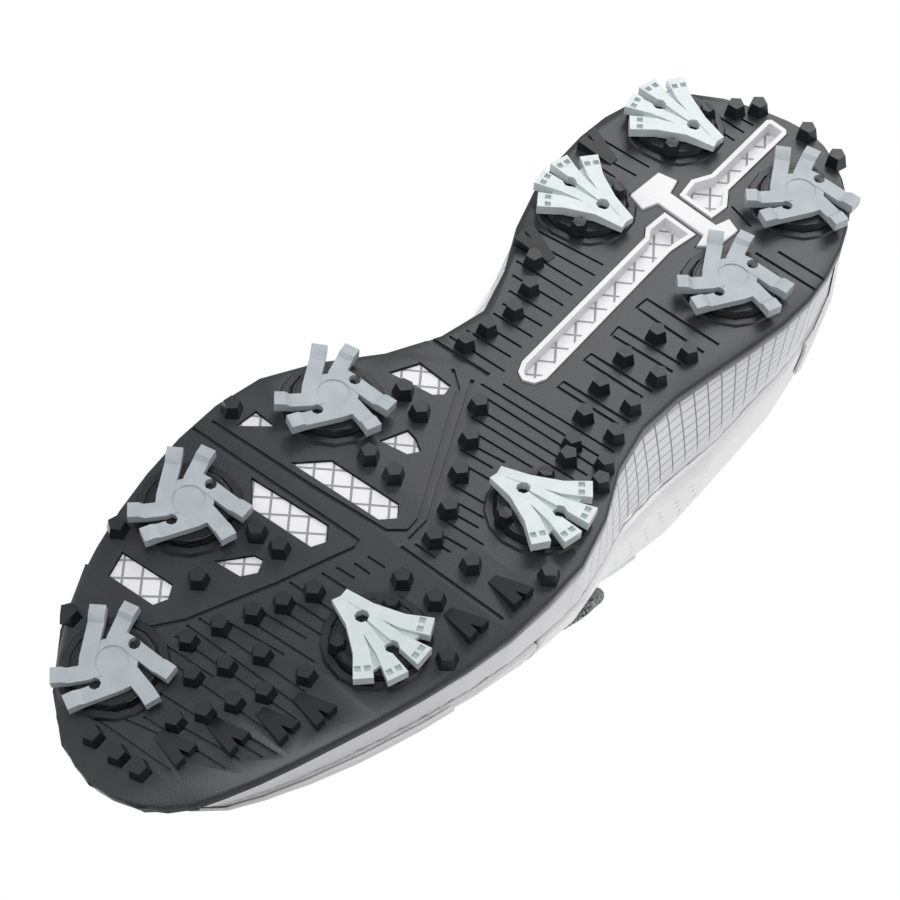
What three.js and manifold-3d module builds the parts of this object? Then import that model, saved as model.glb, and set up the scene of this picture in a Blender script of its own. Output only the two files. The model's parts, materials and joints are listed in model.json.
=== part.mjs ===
import * as THREE from 'three';
import { mergeVertices } from 'three/addons/utils/BufferGeometryUtils.js';
import Module from 'manifold-3d';

const wasm = await Module();
wasm.setup();

// A right golf shoe standing on its cleats. Millimetres: +X to the toe, +Y to the
// inner (medial) side, +Z up, the ground at Z = 0.
// The shoe is drawn straight: "along" runs from heel to toe on the sole, "across"
// to the inner side, "up" from the ground. spring() then lifts the toe.

// ---- Driving sizes ----
const SOLE_LENGTH = 299;
const SOLE_WIDTH = 107;
const SPRING_START = 24;      // the toe spring starts here, along
const SPRING_RADIUS = 375;
const CLEARANCE = 0.3;          // between pieces that sit in or on each other

const SOLE_UP = 5.8;            // the outsole's lower face, above the cleats' tips
const OUTSOLE_THICK = 3.5;
const OUTSOLE_EDGE = 1.1;
const CHASSIS_THICK = 1.5;
const CHASSIS_INSET = 3;
const WINDOW_RECESS = 0.8;
const LIP_WALL = 1.4;
const LIP_PROUD = 0.6;

const LUG_HIGH = 4;
const LUG_BASE = 3.4;
const LUG_TIP = 2.4;
const WEDGE_HIGH = 3.4;
const WEDGE_LONG = 11;
const WEDGE_BROAD = 7.6;
const WEDGE_NARROW = 3;

const SWIRL_REACH = 16.3;
const SWIRL_ARM = 4.4;
const SWIRL_THICK = 3;
const FAN_REACH = 14.4;
const FAN_DEEP = 3.1;
const HUB_RISE = 0.9;
const STUD_FLANGE = 12.2;
const STUD_SHAFT = 5.6;
const STUD_LONG = 6.6;
const RECEPTACLE_WALL = 3;
const RECEPTACLE_ROOF = 0.8;
const BOSS_WALL = 1.8;
const BOSS_PROUD = 0.7;
const WRENCH_HOLE = 1.7;

const MIDSOLE_INSET = 0.5;
const TOE_WRAP_HIGH = 11;
const TOE_WRAP_THICK = 2.2;

const UPPER_THICK = 2;
const OVERLAY_THICK = 0.9;
const PADDING_THICK = 4;
const STIFFENER_THICK = 1.2;
const STROBEL_THICK = 1.4;
const SOCKLINER_THICK = 4.5;
const TONGUE_THICK = 4;
const TONGUE_HALF = 22;
const TONGUE_BACK = -60;
const COLLAR_BACK = 98;
const COLLAR_DIP = 72;
const THROAT_TOP = -38;
const THROAT_END = 38;
const THROAT_BROAD = 17;
const THROAT_NARROW = 9;
const EYELET_ROWS = 6;
const EYELET_INSET = 6.5;
const LACE_WIDE = 2.2;
const LACE_THICK = 1.3;
const AGLET_LONG = 22;

const alongScale = SOLE_LENGTH / 299;
const acrossScale = SOLE_WIDTH / 107;

// Places on the sole are written for a 299 x 107 sole and follow its size.
const place = (along, across) => [along * alongScale, across * acrossScale];

// ---- Colours ----
const finish = {
  tpu: { color: 0x46484c, roughness: 0.45 },
  lug: { color: 0x202124, roughness: 0.5 },
  plate: { color: 0xe9e7ea, roughness: 0.45 },
  foam: { color: 0xf1f0f2, roughness: 0.7 },
  swirl: { color: 0xa9b1b6, roughness: 0.42 },
  fan: { color: 0xc3d0d1, roughness: 0.35 },
  leather: { color: 0xf0eff0, roughness: 0.55 },
  lining: { color: 0xc9cbce, roughness: 0.95 },
  lace: { color: 0x8d8f92, roughness: 0.9 },
  board: { color: 0xd8d5cc, roughness: 0.9 },
};

// ---- Solids ----
const shoe = new THREE.Group();
shoe.name = 'golf_shoe';

function toSolid(geometry) {
  const bare = new THREE.BufferGeometry();
  bare.setAttribute('position', geometry.getAttribute('position').clone());
  if (geometry.index) bare.setIndex(geometry.index.clone());
  const merged = mergeVertices(bare, 1e-4);
  const corners = Array.from(merged.index.array);
  const kept = [];
  for (let i = 0; i < corners.length; i += 3) {
    const [a, b, c] = corners.slice(i, i + 3);
    if (a !== b && b !== c && c !== a) kept.push(a, b, c);
  }
  return new wasm.Manifold(new wasm.Mesh({
    numProp: 3,
    vertProperties: new Float32Array(merged.getAttribute('position').array),
    triVerts: new Uint32Array(kept),
  }));
}

function toGeometry(solid) {
  const mesh = solid.getMesh();
  const geometry = new THREE.BufferGeometry();
  geometry.setAttribute('position', new THREE.BufferAttribute(new Float32Array(mesh.vertProperties), 3));
  geometry.setIndex(new THREE.BufferAttribute(new Uint32Array(mesh.triVerts), 1));
  geometry.computeVertexNormals();
  return geometry;
}

function add(name, solid, look) {
  const geometry = solid.isBufferGeometry ? solid : toGeometry(solid);
  const mesh = new THREE.Mesh(geometry, new THREE.MeshStandardMaterial({ metalness: 0, ...finish[look] }));
  mesh.name = name;
  shoe.add(mesh);
  return mesh;
}

const joined = (solids) => solids.reduce((whole, next) => whole.add(next));

// Moves every corner of a geometry.
function reshape(geometry, move) {
  const spots = geometry.getAttribute('position');
  for (let i = 0; i < spots.count; i += 1) {
    spots.setXYZ(i, ...move(spots.getX(i), spots.getY(i), spots.getZ(i)));
  }
  return geometry;
}

// The toe spring: the straight shoe is wrapped on a circle from SPRING_START on.
function spring(along, across, up) {
  if (along <= SPRING_START) return [along, across, up];
  const angle = (along - SPRING_START) / SPRING_RADIUS;
  const reach = SPRING_RADIUS - up;
  return [SPRING_START + reach * Math.sin(angle), across, SPRING_RADIUS - reach * Math.cos(angle)];
}

// The frame of a flat feature on the sole: its own Z points out of the ground, up the sole's normal.
function soleFrame(along, across, up, turn = 0) {
  const angle = Math.max(0, along - SPRING_START) / SPRING_RADIUS;
  const frame = new THREE.Matrix4().makeTranslation(...spring(along, across, up));
  frame.multiply(new THREE.Matrix4().makeRotationY(-angle));
  return frame.multiply(new THREE.Matrix4().makeRotationZ(turn));
}

// A closed solid through loops of the same number of points, each a list of [x, y, z].
function loft(loops) {
  const count = loops[0].length;
  const spots = loops.flat(2);
  const faces = [];
  for (let row = 0; row + 1 < loops.length; row += 1) {
    for (let i = 0; i < count; i += 1) {
      const a = row * count + i;
      const b = row * count + ((i + 1) % count);
      faces.push(a, b, a + count, b, b + count, a + count);
    }
  }
  // A cap is a ladder between the loop's first half and its second half, run backwards.
  const cap = (first, along) => {
    const face = (a, b, c) => faces.push(first + a, first + (along ? b : c), first + (along ? c : b));
    for (let low = 0, high = count - 1; low + 1 < high; low += 1, high -= 1) {
      face(low, low + 1, high);
      if (low + 1 < high - 1) face(low + 1, high - 1, high);
    }
  };
  cap(0, false);
  cap((loops.length - 1) * count, true);
  const geometry = new THREE.BufferGeometry();
  geometry.setAttribute('position', new THREE.BufferAttribute(new Float32Array(spots), 3));
  geometry.setIndex(faces);
  return geometry;
}

// Loops wound the wrong way give a solid with its faces turned in: this turns them out.
function lofted(loops) {
  const solid = toSolid(loft(loops));
  if (solid.volume() > 0) return solid;
  return toSolid(loft(loops.map((loop) => [...loop].reverse())));
}

// A flat outline [[along, across], ...] extruded between two heights and sprung.
function plate(outline, low, high) {
  const shape = new THREE.Shape(outline.map(([x, y]) => new THREE.Vector2(x, y)));
  const geometry = new THREE.ExtrudeGeometry(shape, { depth: high - low, bevelEnabled: false });
  return toSolid(reshape(geometry, (x, y, z) => spring(x, y, z + low)));
}

// A cylinder or cone standing in a sole frame, from one height to another above the ground.
function post(frame, low, high, lowRadius, highRadius = lowRadius, sides = 16) {
  const geometry = new THREE.CylinderGeometry(highRadius, lowRadius, high - low, sides);
  geometry.rotateX(Math.PI / 2);
  geometry.translate(0, 0, (low + high) / 2);
  return toSolid(geometry.applyMatrix4(frame));
}

// ---- The sole's outline ----
const OUTLINE = [
  [-149.4, 4], [-147.5, 16], [-140, 33.5], [-130.5, 43], [-120, 48], [-108, 49.6], [-96, 49],
  [-80, 46.2], [-68, 42.5], [-56, 36.8], [-46, 30.8], [-38, 26.8], [-30.5, 25.1], [-22, 25.7],
  [-13, 28], [-3.5, 31.9], [5, 36.8], [15, 44], [25, 49.6], [37, 52.9], [51, 53.8], [65, 53],
  [81, 50.7], [97.5, 46.7], [112, 41.8], [125.5, 34.7], [136, 26.6], [144, 17.6], [148.6, 8],
  [149.6, -2], [146.5, -13], [139.9, -22.2], [127.6, -29.6], [115.5, -35], [99, -41], [81.5, -46.6],
  [65, -50.6], [50, -53], [37, -53.4], [25, -53], [14.7, -51.7], [4.7, -48.6], [-5.5, -43.6],
  [-15.6, -37.9], [-25.7, -34.3], [-36, -33], [-50, -33], [-68, -35.1], [-90, -37], [-101, -36.3],
  [-110, -34.5], [-121, -30.8], [-131, -25.6], [-139, -18.6], [-145.4, -10], [-148.6, -3],
].map(([along, across]) => place(along, across));

const outlineCurve = new THREE.CatmullRomCurve3(
  OUTLINE.map(([x, y]) => new THREE.Vector3(x, y, 0)), true, 'centripetal');
const outlineSpots = outlineCurve.getPoints(600);

// The outline moved in (or out, below zero) along its own normals, kept for each distance asked for.
const movedOutlines = new Map();
function outlineAt(inward) {
  if (!movedOutlines.has(inward)) {
    const count = outlineSpots.length - 1;
    const moved = outlineSpots.map((spot, i) => {
      const before = outlineSpots[(i % count) === 0 ? count - 1 : i - 1];
      const after = outlineSpots[(i % count) + 1];
      const normal = new THREE.Vector2(before.y - after.y, after.x - before.x).normalize();
      return new THREE.Vector2(spot.x - normal.x * inward, spot.y - normal.y * inward);
    });
    movedOutlines.set(inward, moved);
  }
  return movedOutlines.get(inward);
}
const heelEnd = (inward = 0) => Math.min(...outlineAt(inward).map((p) => p.x));
const toeEnd = (inward = 0) => Math.max(...outlineAt(inward).map((p) => p.x));
const HEEL_END = heelEnd();
const TOE_END = toeEnd();

// Where the outline crosses a station along the shoe: [outer side, inner side].
function edges(along, inward = 0) {
  const crossings = [];
  const line = outlineAt(inward);
  for (let i = 0; i + 1 < line.length; i += 1) {
    const a = line[i];
    const b = line[i + 1];
    if ((a.x - along) * (b.x - along) <= 0 && a.x !== b.x) {
      crossings.push(a.y + ((along - a.x) / (b.x - a.x)) * (b.y - a.y));
    }
  }
  return [Math.min(...crossings), Math.max(...crossings)];
}

// Stations from heel to toe, crowded towards both round ends.
function stations(from, to, count, roundHeel = true, roundToe = true) {
  const list = [];
  for (let i = 0; i <= count; i += 1) {
    const t = i / count;
    let ease = t;
    if (roundHeel && roundToe) ease = (1 - Math.cos(Math.PI * t)) / 2;
    else if (roundToe) ease = Math.sin((Math.PI / 2) * t);
    else if (roundHeel) ease = 1 - Math.cos((Math.PI / 2) * t);
    list.push(from + (to - from) * ease);
  }
  return list;
}

// A smooth curve through [along, value] pairs.
function profile(pairs) {
  const list = pairs.map(([along, value]) => [along * alongScale, value]);
  return (along) => {
    if (along <= list[0][0]) return list[0][1];
    if (along >= list[list.length - 1][0]) return list[list.length - 1][1];
    const i = list.findIndex(([x], n) => n > 0 && x >= along);
    const [x0, v0] = list[i - 1];
    const [x1, v1] = list[i];
    const before = list[Math.max(i - 2, 0)];
    const after = list[Math.min(i + 1, list.length - 1)];
    const m0 = (v1 - before[1]) / (x1 - before[0]);
    const m1 = (after[1] - v0) / (after[0] - x0);
    const span = x1 - x0;
    const t = (along - x0) / span;
    return (2 * t ** 3 - 3 * t ** 2 + 1) * v0 + (t ** 3 - 2 * t ** 2 + t) * span * m0
      + (-2 * t ** 3 + 3 * t ** 2) * v1 + (t ** 3 - t ** 2) * span * m1;
  };
}

const mix = (a, b, t) => a + (b - a) * t;
const limited = (t) => Math.min(1, Math.max(0, t));

// ---- The body line: where the side walls and the ridge run ----
const PLATE_TOP = SOLE_UP + OUTSOLE_THICK;
const MIDSOLE_LOW = PLATE_TOP + CLEARANCE;
const widestUp = profile([[-150, 34], [-110, 34], [-60, 35.5], [-20, 32], [20, 25.5], [60, 22.6], [150, 22.6]]);
const wallTop = profile([[-150, 31], [-110, 29.5], [-60, 28.5], [-20, 26], [30, 21.6], [80, 20.6], [150, 20.6]]);
const bedTop = profile([[-150, 27], [-100, 26], [-50, 24], [0, 20], [40, 17.5], [150, 17]]);
const outerSwell = profile([
  [-150, 0], [-125, -1.5], [-110, -1], [-80, 3], [-60, 8], [-40, 10], [-20, 7], [0, 2.2], [30, 0.5], [80, -0.5],
  [125, -0.8], [150, 0],
]);
const innerSwell = profile([
  [-150, 1], [-110, 1], [-80, 1.5], [-56, 5], [-32, 9.5], [-10, 7], [12, 2], [40, 0.8], [100, 0], [150, 0],
]);
const ridgeUp = profile([
  [-150, 114], [-110, 118], [-60, 117], [-38, 111], [-20, 102], [0, 88], [20, 76], [40, 66], [60, 58],
  [80, 53], [100, 49], [120, 44], [134, 38], [143, 32], [150, 26],
]);
const ridgeAcross = profile([[-150, 6], [-100, 6], [-40, 0], [0, 0], [60, 4], [110, 4], [150, 1]]);
const squareness = profile([[-150, 1.6], [60, 1.6], [120, 1.65], [150, 1.7]]);

// The heel's back swells behind the sole and leans in again at the collar.
function heelLine(along, up) {
  const fade = limited((-70 * alongScale - along) / (80 * alongScale)) ** 1.5;
  const swell = -2.4 * Math.sin(Math.PI * limited((up - MIDSOLE_LOW) / 70));
  const lean = 6.5 * limited((up - 52) / (COLLAR_BACK - 52)) ** 2;
  return along + fade * (swell + lean);
}

// The toe leans back with height, from TOE_LEAN_START on.
const TOE_LEAN_START = 95;
const TOE_LEAN = 0.78;
const TOE_LEAN_HIGH = 20;
function toeLine(along, up) {
  const from = TOE_LEAN_START * alongScale;
  const fade = limited((along - from) / (TOE_END - from)) ** 1.5;
  return along - fade * TOE_LEAN * Math.min(Math.max(0, up - MIDSOLE_LOW), TOE_LEAN_HIGH);
}

const shaped = (along, across, up) => spring(toeLine(heelLine(along, up), up), across, up);

// One side wall, from the outsole up to its widest line. side is 0 for outer, 1 for inner.
function wallAcross(along, side, up, inward = 0) {
  const swell = side === 0 ? -outerSwell(along) : innerSwell(along);
  const rise = limited((up - MIDSOLE_LOW) / (widestUp(along) - MIDSOLE_LOW));
  return edges(along, inward)[side] + swell * Math.sin((Math.PI / 2) * rise);
}

// The ridge's place across, kept near the middle of the sole at the round ends.
function ridgeLine(along, inward = 0) {
  const [outer, inner] = edges(along, inward);
  return Math.min(mix(outer, inner, 0.6), Math.max(mix(outer, inner, 0.4), ridgeAcross(along)));
}

// A point of the upper's face. turn runs from 0 at the outer widest line over the ridge to 1 at the inner.
function crown(along, turn, grow) {
  const angle = Math.PI * turn;
  const power = 2 / squareness(along);
  const middle = ridgeLine(along, -grow);
  const side = turn < 0.5 ? 0 : 1;
  const reach = Math.abs(wallAcross(along, side, widestUp(along), -grow) - middle);
  const lift = ridgeUp(along) - widestUp(along) + grow;
  const outward = reach * Math.abs(Math.cos(angle)) ** power;
  return [
    along,
    middle + (side === 0 ? -outward : outward),
    widestUp(along) + lift * Math.abs(Math.sin(angle)) ** power,
  ];
}

// The upper's body, grown or shrunk, from a low line up over the ridge.
const END_SLIVER = 0.06;
function body(grow, low, crownSteps = 10, count = 21) {
  const line = stations(heelEnd(-grow) + END_SLIVER, toeEnd(-grow) - END_SLIVER, count);
  return lofted(line.map((along) => {
    const foot = low(along);
    const loop = [];
    for (const up of [foot, mix(foot, widestUp(along), 0.5)]) {
      loop.push([along, wallAcross(along, 0, up, -grow), up]);
    }
    for (let i = 0; i <= crownSteps; i += 1) {
      loop.push(crown(along, i / crownSteps, grow));
    }
    for (const up of [mix(foot, widestUp(along), 0.5), foot]) {
      loop.push([along, wallAcross(along, 1, up, -grow), up]);
    }
    return loop.map((spot) => shaped(...spot));
  }));
}

// A slab that follows the outline: moved in from it, between two heights, with a rounded lower edge.
function slab({ inward, low, high, edge = 0, to = Infinity, count = 30, flare = false }) {
  const start = heelEnd(inward) + END_SLIVER;
  const whole = to > toeEnd(inward);
  const end = whole ? toeEnd(inward) - END_SLIVER : to;
  return lofted(stations(start, end, count, true, whole).map((along) => {
    const [outer, inner] = edges(along, inward);
    const highUp = typeof high === 'function' ? high(along) : high;
    const wall = (side, up) => (flare ? wallAcross(along, side, up, inward) : [outer, inner][side]);
    const round = Math.min(edge, (inner - outer) / 2 - END_SLIVER);
    const steps = flare ? 4 : 1;
    const loop = [];
    if (edge > 0) {
      loop.push([outer + round, low], [outer + round * 0.3, low + edge * 0.3]);
    }
    for (let i = 0; i <= steps; i += 1) {
      const up = mix(low + edge, highUp, i / steps);
      loop.push([wall(0, up), up]);
    }
    for (let i = steps; i >= 0; i -= 1) {
      const up = mix(low + edge, highUp, i / steps);
      loop.push([wall(1, up), up]);
    }
    if (edge > 0) {
      loop.push([inner - round * 0.3, low + edge * 0.3], [inner - round, low]);
    }
    return loop.map(([across, up]) => shaped(along, across, up));
  }));
}

// ---- Places of the cleats ----
const SWIRLS = [
  { name: '1', spot: place(23.5, 31.4) },
  { name: '2', spot: place(75.4, 35.1) },
  { name: '3', spot: place(122.5, 17.1) },
  { name: '4', spot: place(-125.9, -10.9) },
  { name: '5', spot: place(-86.9, -17.9) },
];
const FANS = [
  { name: '1', spot: place(-122.1, 31.9), turn: 85 },
  { name: '2', spot: place(-80.1, 30.2), turn: 88 },
  { name: '3', spot: place(11.2, -31.8), turn: -95 },
  { name: '4', spot: place(71.8, -28.7), turn: -83 },
];
const SWIRL_SWEEP = Math.hypot(SWIRL_REACH, SWIRL_ARM / 2);
const FAN_SWEEP = 1.12 * FAN_REACH;
const allCleats = [
  ...SWIRLS.map((cleat) => ({ ...cleat, sweep: SWIRL_SWEEP })),
  ...FANS.map((cleat) => ({ ...cleat, sweep: FAN_SWEEP })),
];

// Nothing that stands on the sole reaches into the circle a cleat sweeps as it is twisted out.
function clearOfCleats([along, across], radius) {
  let spot = new THREE.Vector2(along, across);
  for (const cleat of allCleats) {
    const centre = new THREE.Vector2(...cleat.spot);
    const least = cleat.sweep + radius + CLEARANCE;
    if (spot.distanceTo(centre) < least) spot = spot.sub(centre).setLength(least).add(centre);
  }
  return spot.toArray();
}

// ---- Windows in the forefoot, through which the white chassis shows ----
const WINDOWS = [
  [[-4.3, 13.2], [-4.3, 24.6], [4.6, 28.4], [1.8, 14.6], [-0.6, 12.4]],
  [[16, 7.6], [15.4, 11.2], [23.8, 14.2], [21.8, 5.6], [18.4, 3.6]],
  [[35.6, -4], [37.6, 18.6], [46.2, 26], [43.4, -3.6], [39.4, -7]],
  [[53.8, 4.8], [56.8, 30.2], [64, 23.4], [62.2, 3.4], [58, 1.4]],
  [[73.4, 10], [74, 12.8], [82.6, 19.4], [81.4, 11], [77.4, 8.2]],
  [[94.8, 22.6], [96.6, 39.6], [104.2, 37.4], [102.8, 22.4], [98.8, 20.4]],
  [[40, 36.8], [40, 44.4], [47.8, 44.9]],
];

// ---- The channel down the heel and arch, in two parts with a bridge between ----
const CHANNEL_REAR = [
  [-145.2, 14.4], [-143.8, 15.5], [-115.5, 13.2], [-109.7, 15.8], [-102.4, 14.4], [-102.4, 1.9],
  [-109.2, 1.5], [-114.5, 5.3], [-143.8, 7.4], [-145.2, 8.6],
];
const CHANNEL_FRONT = [
  [-94.8, 13.1], [-86.1, 13.1], [-83, 10.9], [-24, 5.3], [-20.4, 3.6], [-19, 0.6], [-20.6, -2.6],
  [-24.2, -4], [-84.5, 2], [-94.8, 1],
];

// An outline moved in or out by a distance, corner by corner.
function inset(outline, distance) {
  const area = THREE.ShapeUtils.area(outline.map(([x, y]) => new THREE.Vector2(x, y)));
  const inward = area > 0 ? distance : -distance;
  return outline.map((corner, i) => {
    const before = outline[(i + outline.length - 1) % outline.length];
    const after = outline[(i + 1) % outline.length];
    const into = new THREE.Vector2(corner[0] - before[0], corner[1] - before[1]).normalize();
    const out = new THREE.Vector2(after[0] - corner[0], after[1] - corner[1]).normalize();
    const n1 = new THREE.Vector2(-into.y, into.x);
    const n2 = new THREE.Vector2(-out.y, out.x);
    const mitre = n1.clone().add(n2);
    const stretch = inward / Math.max(0.35, 1 + n1.dot(n2));
    return [corner[0] + mitre.x * stretch, corner[1] + mitre.y * stretch];
  });
}

const placed = (outline) => outline.map(([along, across]) => place(along, across));

// ---- The bridge across the channel ----
const BRIDGE_PROUD = 0.8;
const BRIDGE_SUNK = 1.2;
const BRIDGE = [
  [-101.4, -0.4], [-106, -1.6], [-104.4, -6.2], [-95, -6.2], [-91.2, -1.6], [-95.8, -0.4],
  [-95.8, 16.4], [-90.7, 18], [-92.2, 24], [-105, 24], [-106.5, 18], [-101.4, 16.4],
];

function bridge() {
  const solid = plate(placed(BRIDGE), SOLE_UP - BRIDGE_PROUD, SOLE_UP + BRIDGE_SUNK - CLEARANCE);
  return allCleats.reduce((left, cleat) => left.subtract(
    post(soleFrame(...cleat.spot, 0), 0, SOLE_UP + BRIDGE_SUNK, STUD_FLANGE + CLEARANCE)), solid);
}

// ---- Outsole ----
const FLANGE_TOP = SOLE_UP - CLEARANCE;
const RECEPTACLE_RADIUS = STUD_SHAFT + CLEARANCE + RECEPTACLE_WALL;
const RECEPTACLE_TOP = SOLE_UP + STUD_LONG + CLEARANCE + RECEPTACLE_ROOF;
const pocket = ({ spot }, low, high) => post(soleFrame(...spot, 0), low, high, RECEPTACLE_RADIUS + CLEARANCE);

const LUGS = [
  [-145, 19.6], [-147.6, 3.4], [-141.5, -9.5], [-138.6, 24.4], [-53.4, 26.6], [-45, 20.8], [-35.6, 18.2],
  [-25.6, 19.2], [-17.2, 19.8], [-57.6, -15], [-45, -14], [-32.4, -16], [-21.6, -19.6], [-12, -23.6],
  [-58.8, -25.6], [-46.2, -25], [-33.4, -26.6], [-22.4, -30], [-12.8, -34.6], [-6, -37.4], [-5.6, -26.6],
  [-3.6, 2.6], [6.8, -3.4], [17.4, -9.2], [28.4, -15.2], [38.4, -18.8], [37.8, -31.4], [9.2, 21.6],
  [9.6, 12.2], [30.4, 11.8], [30.4, 2.8], [44.8, 48.8], [25.8, -48.2], [54.6, -21.8], [54.6, -31.8],
  [64, -46.2], [69.8, 18], [68.8, 8.6], [89.8, 18], [92.8, 44.8], [72.4, -7.2], [80.2, -3.6], [87.6, 0.2],
  [96, 4.2], [104.6, 7.6], [95, -9.8], [103.4, -5], [111.2, -0.4], [91.8, -22.4], [102.4, -17.8],
  [109.6, -13.6], [116.6, -9.8], [123.4, -5.6], [119.8, 33.8], [140, 8], [139.6, -0.6], [139, -7.8],
].map(([along, across]) => place(along, across));

const WEDGES = [
  { spot: place(36.6, -43.2), turn: 0 }, { spot: place(52.4, -41.6), turn: 0 },
  { spot: place(97.4, -29.6), turn: 0 }, { spot: place(106.8, -25.4), turn: 0 },
  { spot: place(117.4, -17.8), turn: 0 }, { spot: place(128.6, -9.6), turn: 0 },
  { spot: place(-99, 41), turn: Math.PI }, { spot: place(-64.6, 29.6), turn: Math.PI },
];

// A tapered five-sided stud.
function lug(spot, index) {
  const [along, across] = clearOfCleats(spot, (LUG_BASE + LUG_TIP) / 2);
  const frame = soleFrame(along, across, SOLE_UP, Math.PI / 4 + index * 0.02);
  return post(frame, -LUG_HIGH, 0.4, LUG_TIP, LUG_BASE, 5);
}

// A ramp that rises from its narrow end and is notched at its broad end.
function wedge({ spot, turn }) {
  const half = WEDGE_LONG / 2;
  const shape = new THREE.Shape([
    new THREE.Vector2(-WEDGE_NARROW / 2, half), new THREE.Vector2(-WEDGE_BROAD / 2, -half),
    new THREE.Vector2(-0.8, -half), new THREE.Vector2(0, -half + 3.2), new THREE.Vector2(0.8, -half),
    new THREE.Vector2(WEDGE_BROAD / 2, -half), new THREE.Vector2(WEDGE_NARROW / 2, half),
  ]);
  const geometry = new THREE.ExtrudeGeometry(shape, { depth: 1, bevelEnabled: false });
  reshape(geometry, (x, y, z) => [x, y, z > 0.5 ? 0.4 : -mix(WEDGE_HIGH, 0.3, (y + half) / WEDGE_LONG)]);
  return toSolid(geometry.applyMatrix4(soleFrame(...clearOfCleats(spot, WEDGE_LONG / 2), SOLE_UP, turn)));
}

// The toe wrap: a strip of the outsole that climbs the toe's edge.
function toeWrap(grow) {
  const run = outlineSpots.filter((p, i) => i % 14 === 0 && p.x > 92 * alongScale
    && !(p.y < 0 && p.x < 128 * alongScale));
  const loops = run.map((spot, i) => {
    const before = run[Math.max(i - 1, 0)];
    const after = run[Math.min(i + 1, run.length - 1)];
    const out = new THREE.Vector2(after.y - before.y, before.x - after.x).normalize();
    if (out.dot(new THREE.Vector2(spot.x - 60, spot.y)) < 0) out.negate();
    const t = i / (run.length - 1);
    const high = PLATE_TOP + grow + (TOE_WRAP_HIGH - OUTSOLE_THICK) * Math.sin(Math.PI * t) ** 0.6;
    const low = SOLE_UP + OUTSOLE_EDGE;
    const at = (away, up) => shaped(spot.x + out.x * away, spot.y + out.y * away, up);
    const inner = -TOE_WRAP_THICK - grow;
    const outerFace = grow > 0 ? 4 : 0.5;
    return [at(inner, low), at(outerFace, low), at(outerFace + 0.4, mix(low, high, 0.6)), at(outerFace - 0.5, high),
      at(inner, high)];
  });
  return lofted(loops);
}

function outsole() {
  let solid = slab({ inward: 0, low: SOLE_UP, high: PLATE_TOP, edge: OUTSOLE_EDGE });
  solid = solid.add(toeWrap(0));
  for (const cleat of allCleats) {
    const frame = soleFrame(...cleat.spot, 0);
    const boss = post(frame, SOLE_UP - BOSS_PROUD, SOLE_UP + 1, STUD_FLANGE + CLEARANCE + BOSS_WALL,
      STUD_FLANGE + CLEARANCE + BOSS_WALL + 1.2);
    solid = solid.add(boss);
  }
  for (const cleat of allCleats) {
    const frame = soleFrame(...cleat.spot, 0);
    solid = solid.subtract(post(frame, 0, SOLE_UP, STUD_FLANGE + CLEARANCE));
    solid = solid.subtract(pocket(cleat, 0, 2 * PLATE_TOP));
  }
  for (const outline of [...WINDOWS, CHANNEL_REAR, CHANNEL_FRONT]) {
    solid = solid.subtract(plate(placed(outline), 0, 2 * PLATE_TOP));
  }
  solid = solid.subtract(plate(inset(placed(BRIDGE), -CLEARANCE), 0, SOLE_UP + BRIDGE_SUNK));
  solid = joined([solid, ...LUGS.map(lug), ...WEDGES.map(wedge)]);
  return solid;
}

// ---- Chassis: the plate under the foam, its windows and the channel's lips ----
const CHASSIS_LOW = PLATE_TOP + CLEARANCE;
const CHASSIS_TOP = CHASSIS_LOW + CHASSIS_THICK;
const CHASSIS_TOE = 112 * alongScale;
function chassis() {
  let solid = slab({ inward: CHASSIS_INSET, low: CHASSIS_LOW, high: CHASSIS_TOP, to: CHASSIS_TOE, count: 18 });
  for (const outline of WINDOWS) {
    solid = solid.add(plate(inset(placed(outline), CLEARANCE), SOLE_UP + WINDOW_RECESS, CHASSIS_LOW + 0.5));
  }
  for (const outline of [CHANNEL_REAR, CHANNEL_FRONT]) {
    const rim = plate(inset(placed(outline), CLEARANCE), SOLE_UP - LIP_PROUD, CHASSIS_LOW + 0.5);
    const well = plate(inset(placed(outline), CLEARANCE + LIP_WALL), 0, CHASSIS_LOW);
    solid = solid.add(rim.subtract(well));
  }
  for (const cleat of allCleats) {
    solid = solid.subtract(pocket(cleat, SOLE_UP, 3 * PLATE_TOP));
  }
  return solid.subtract(toeWrap(CLEARANCE));
}

// ---- Midsole ----
function midsole() {
  let solid = slab({ inward: MIDSOLE_INSET, low: MIDSOLE_LOW, high: wallTop, flare: true, count: 30 });
  const bed = body(-UPPER_THICK - 1.2, bedTop, 6, 22);
  solid = solid.subtract(bed);
  solid = solid.subtract(slab({
    inward: CHASSIS_INSET - CLEARANCE, low: 0, high: CHASSIS_TOP + CLEARANCE, to: CHASSIS_TOE + CLEARANCE, count: 18,
  }));
  for (const cleat of allCleats) {
    solid = solid.subtract(pocket(cleat, 0, RECEPTACLE_TOP + CLEARANCE));
  }
  return solid.subtract(toeWrap(CLEARANCE));
}

// ---- Cleats ----
// A bar along a flat path, in a cleat's own frame. Widths and lower faces are given point by point.
function bar(path, widths, lows, high) {
  return lofted(path.map(([x, y], i) => {
    const before = path[Math.max(i - 1, 0)];
    const after = path[Math.min(i + 1, path.length - 1)];
    const side = new THREE.Vector2(before[1] - after[1], after[0] - before[0]).normalize();
    const half = widths[i] / 2;
    const at = (away, up) => [x + side.x * away, y + side.y * away, up];
    return [at(-half, lows[i]), at(half, lows[i]), at(half, high), at(-half, high)];
  }));
}

const polar = (radius, degrees) => {
  const angle = THREE.MathUtils.degToRad(degrees);
  return [radius * Math.cos(angle), radius * Math.sin(angle)];
};

const WRENCH_REACH = 7.4;
const FAN_HOLES = [-5.6, 6.4];
const FAN_HOLE = 2;

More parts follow.
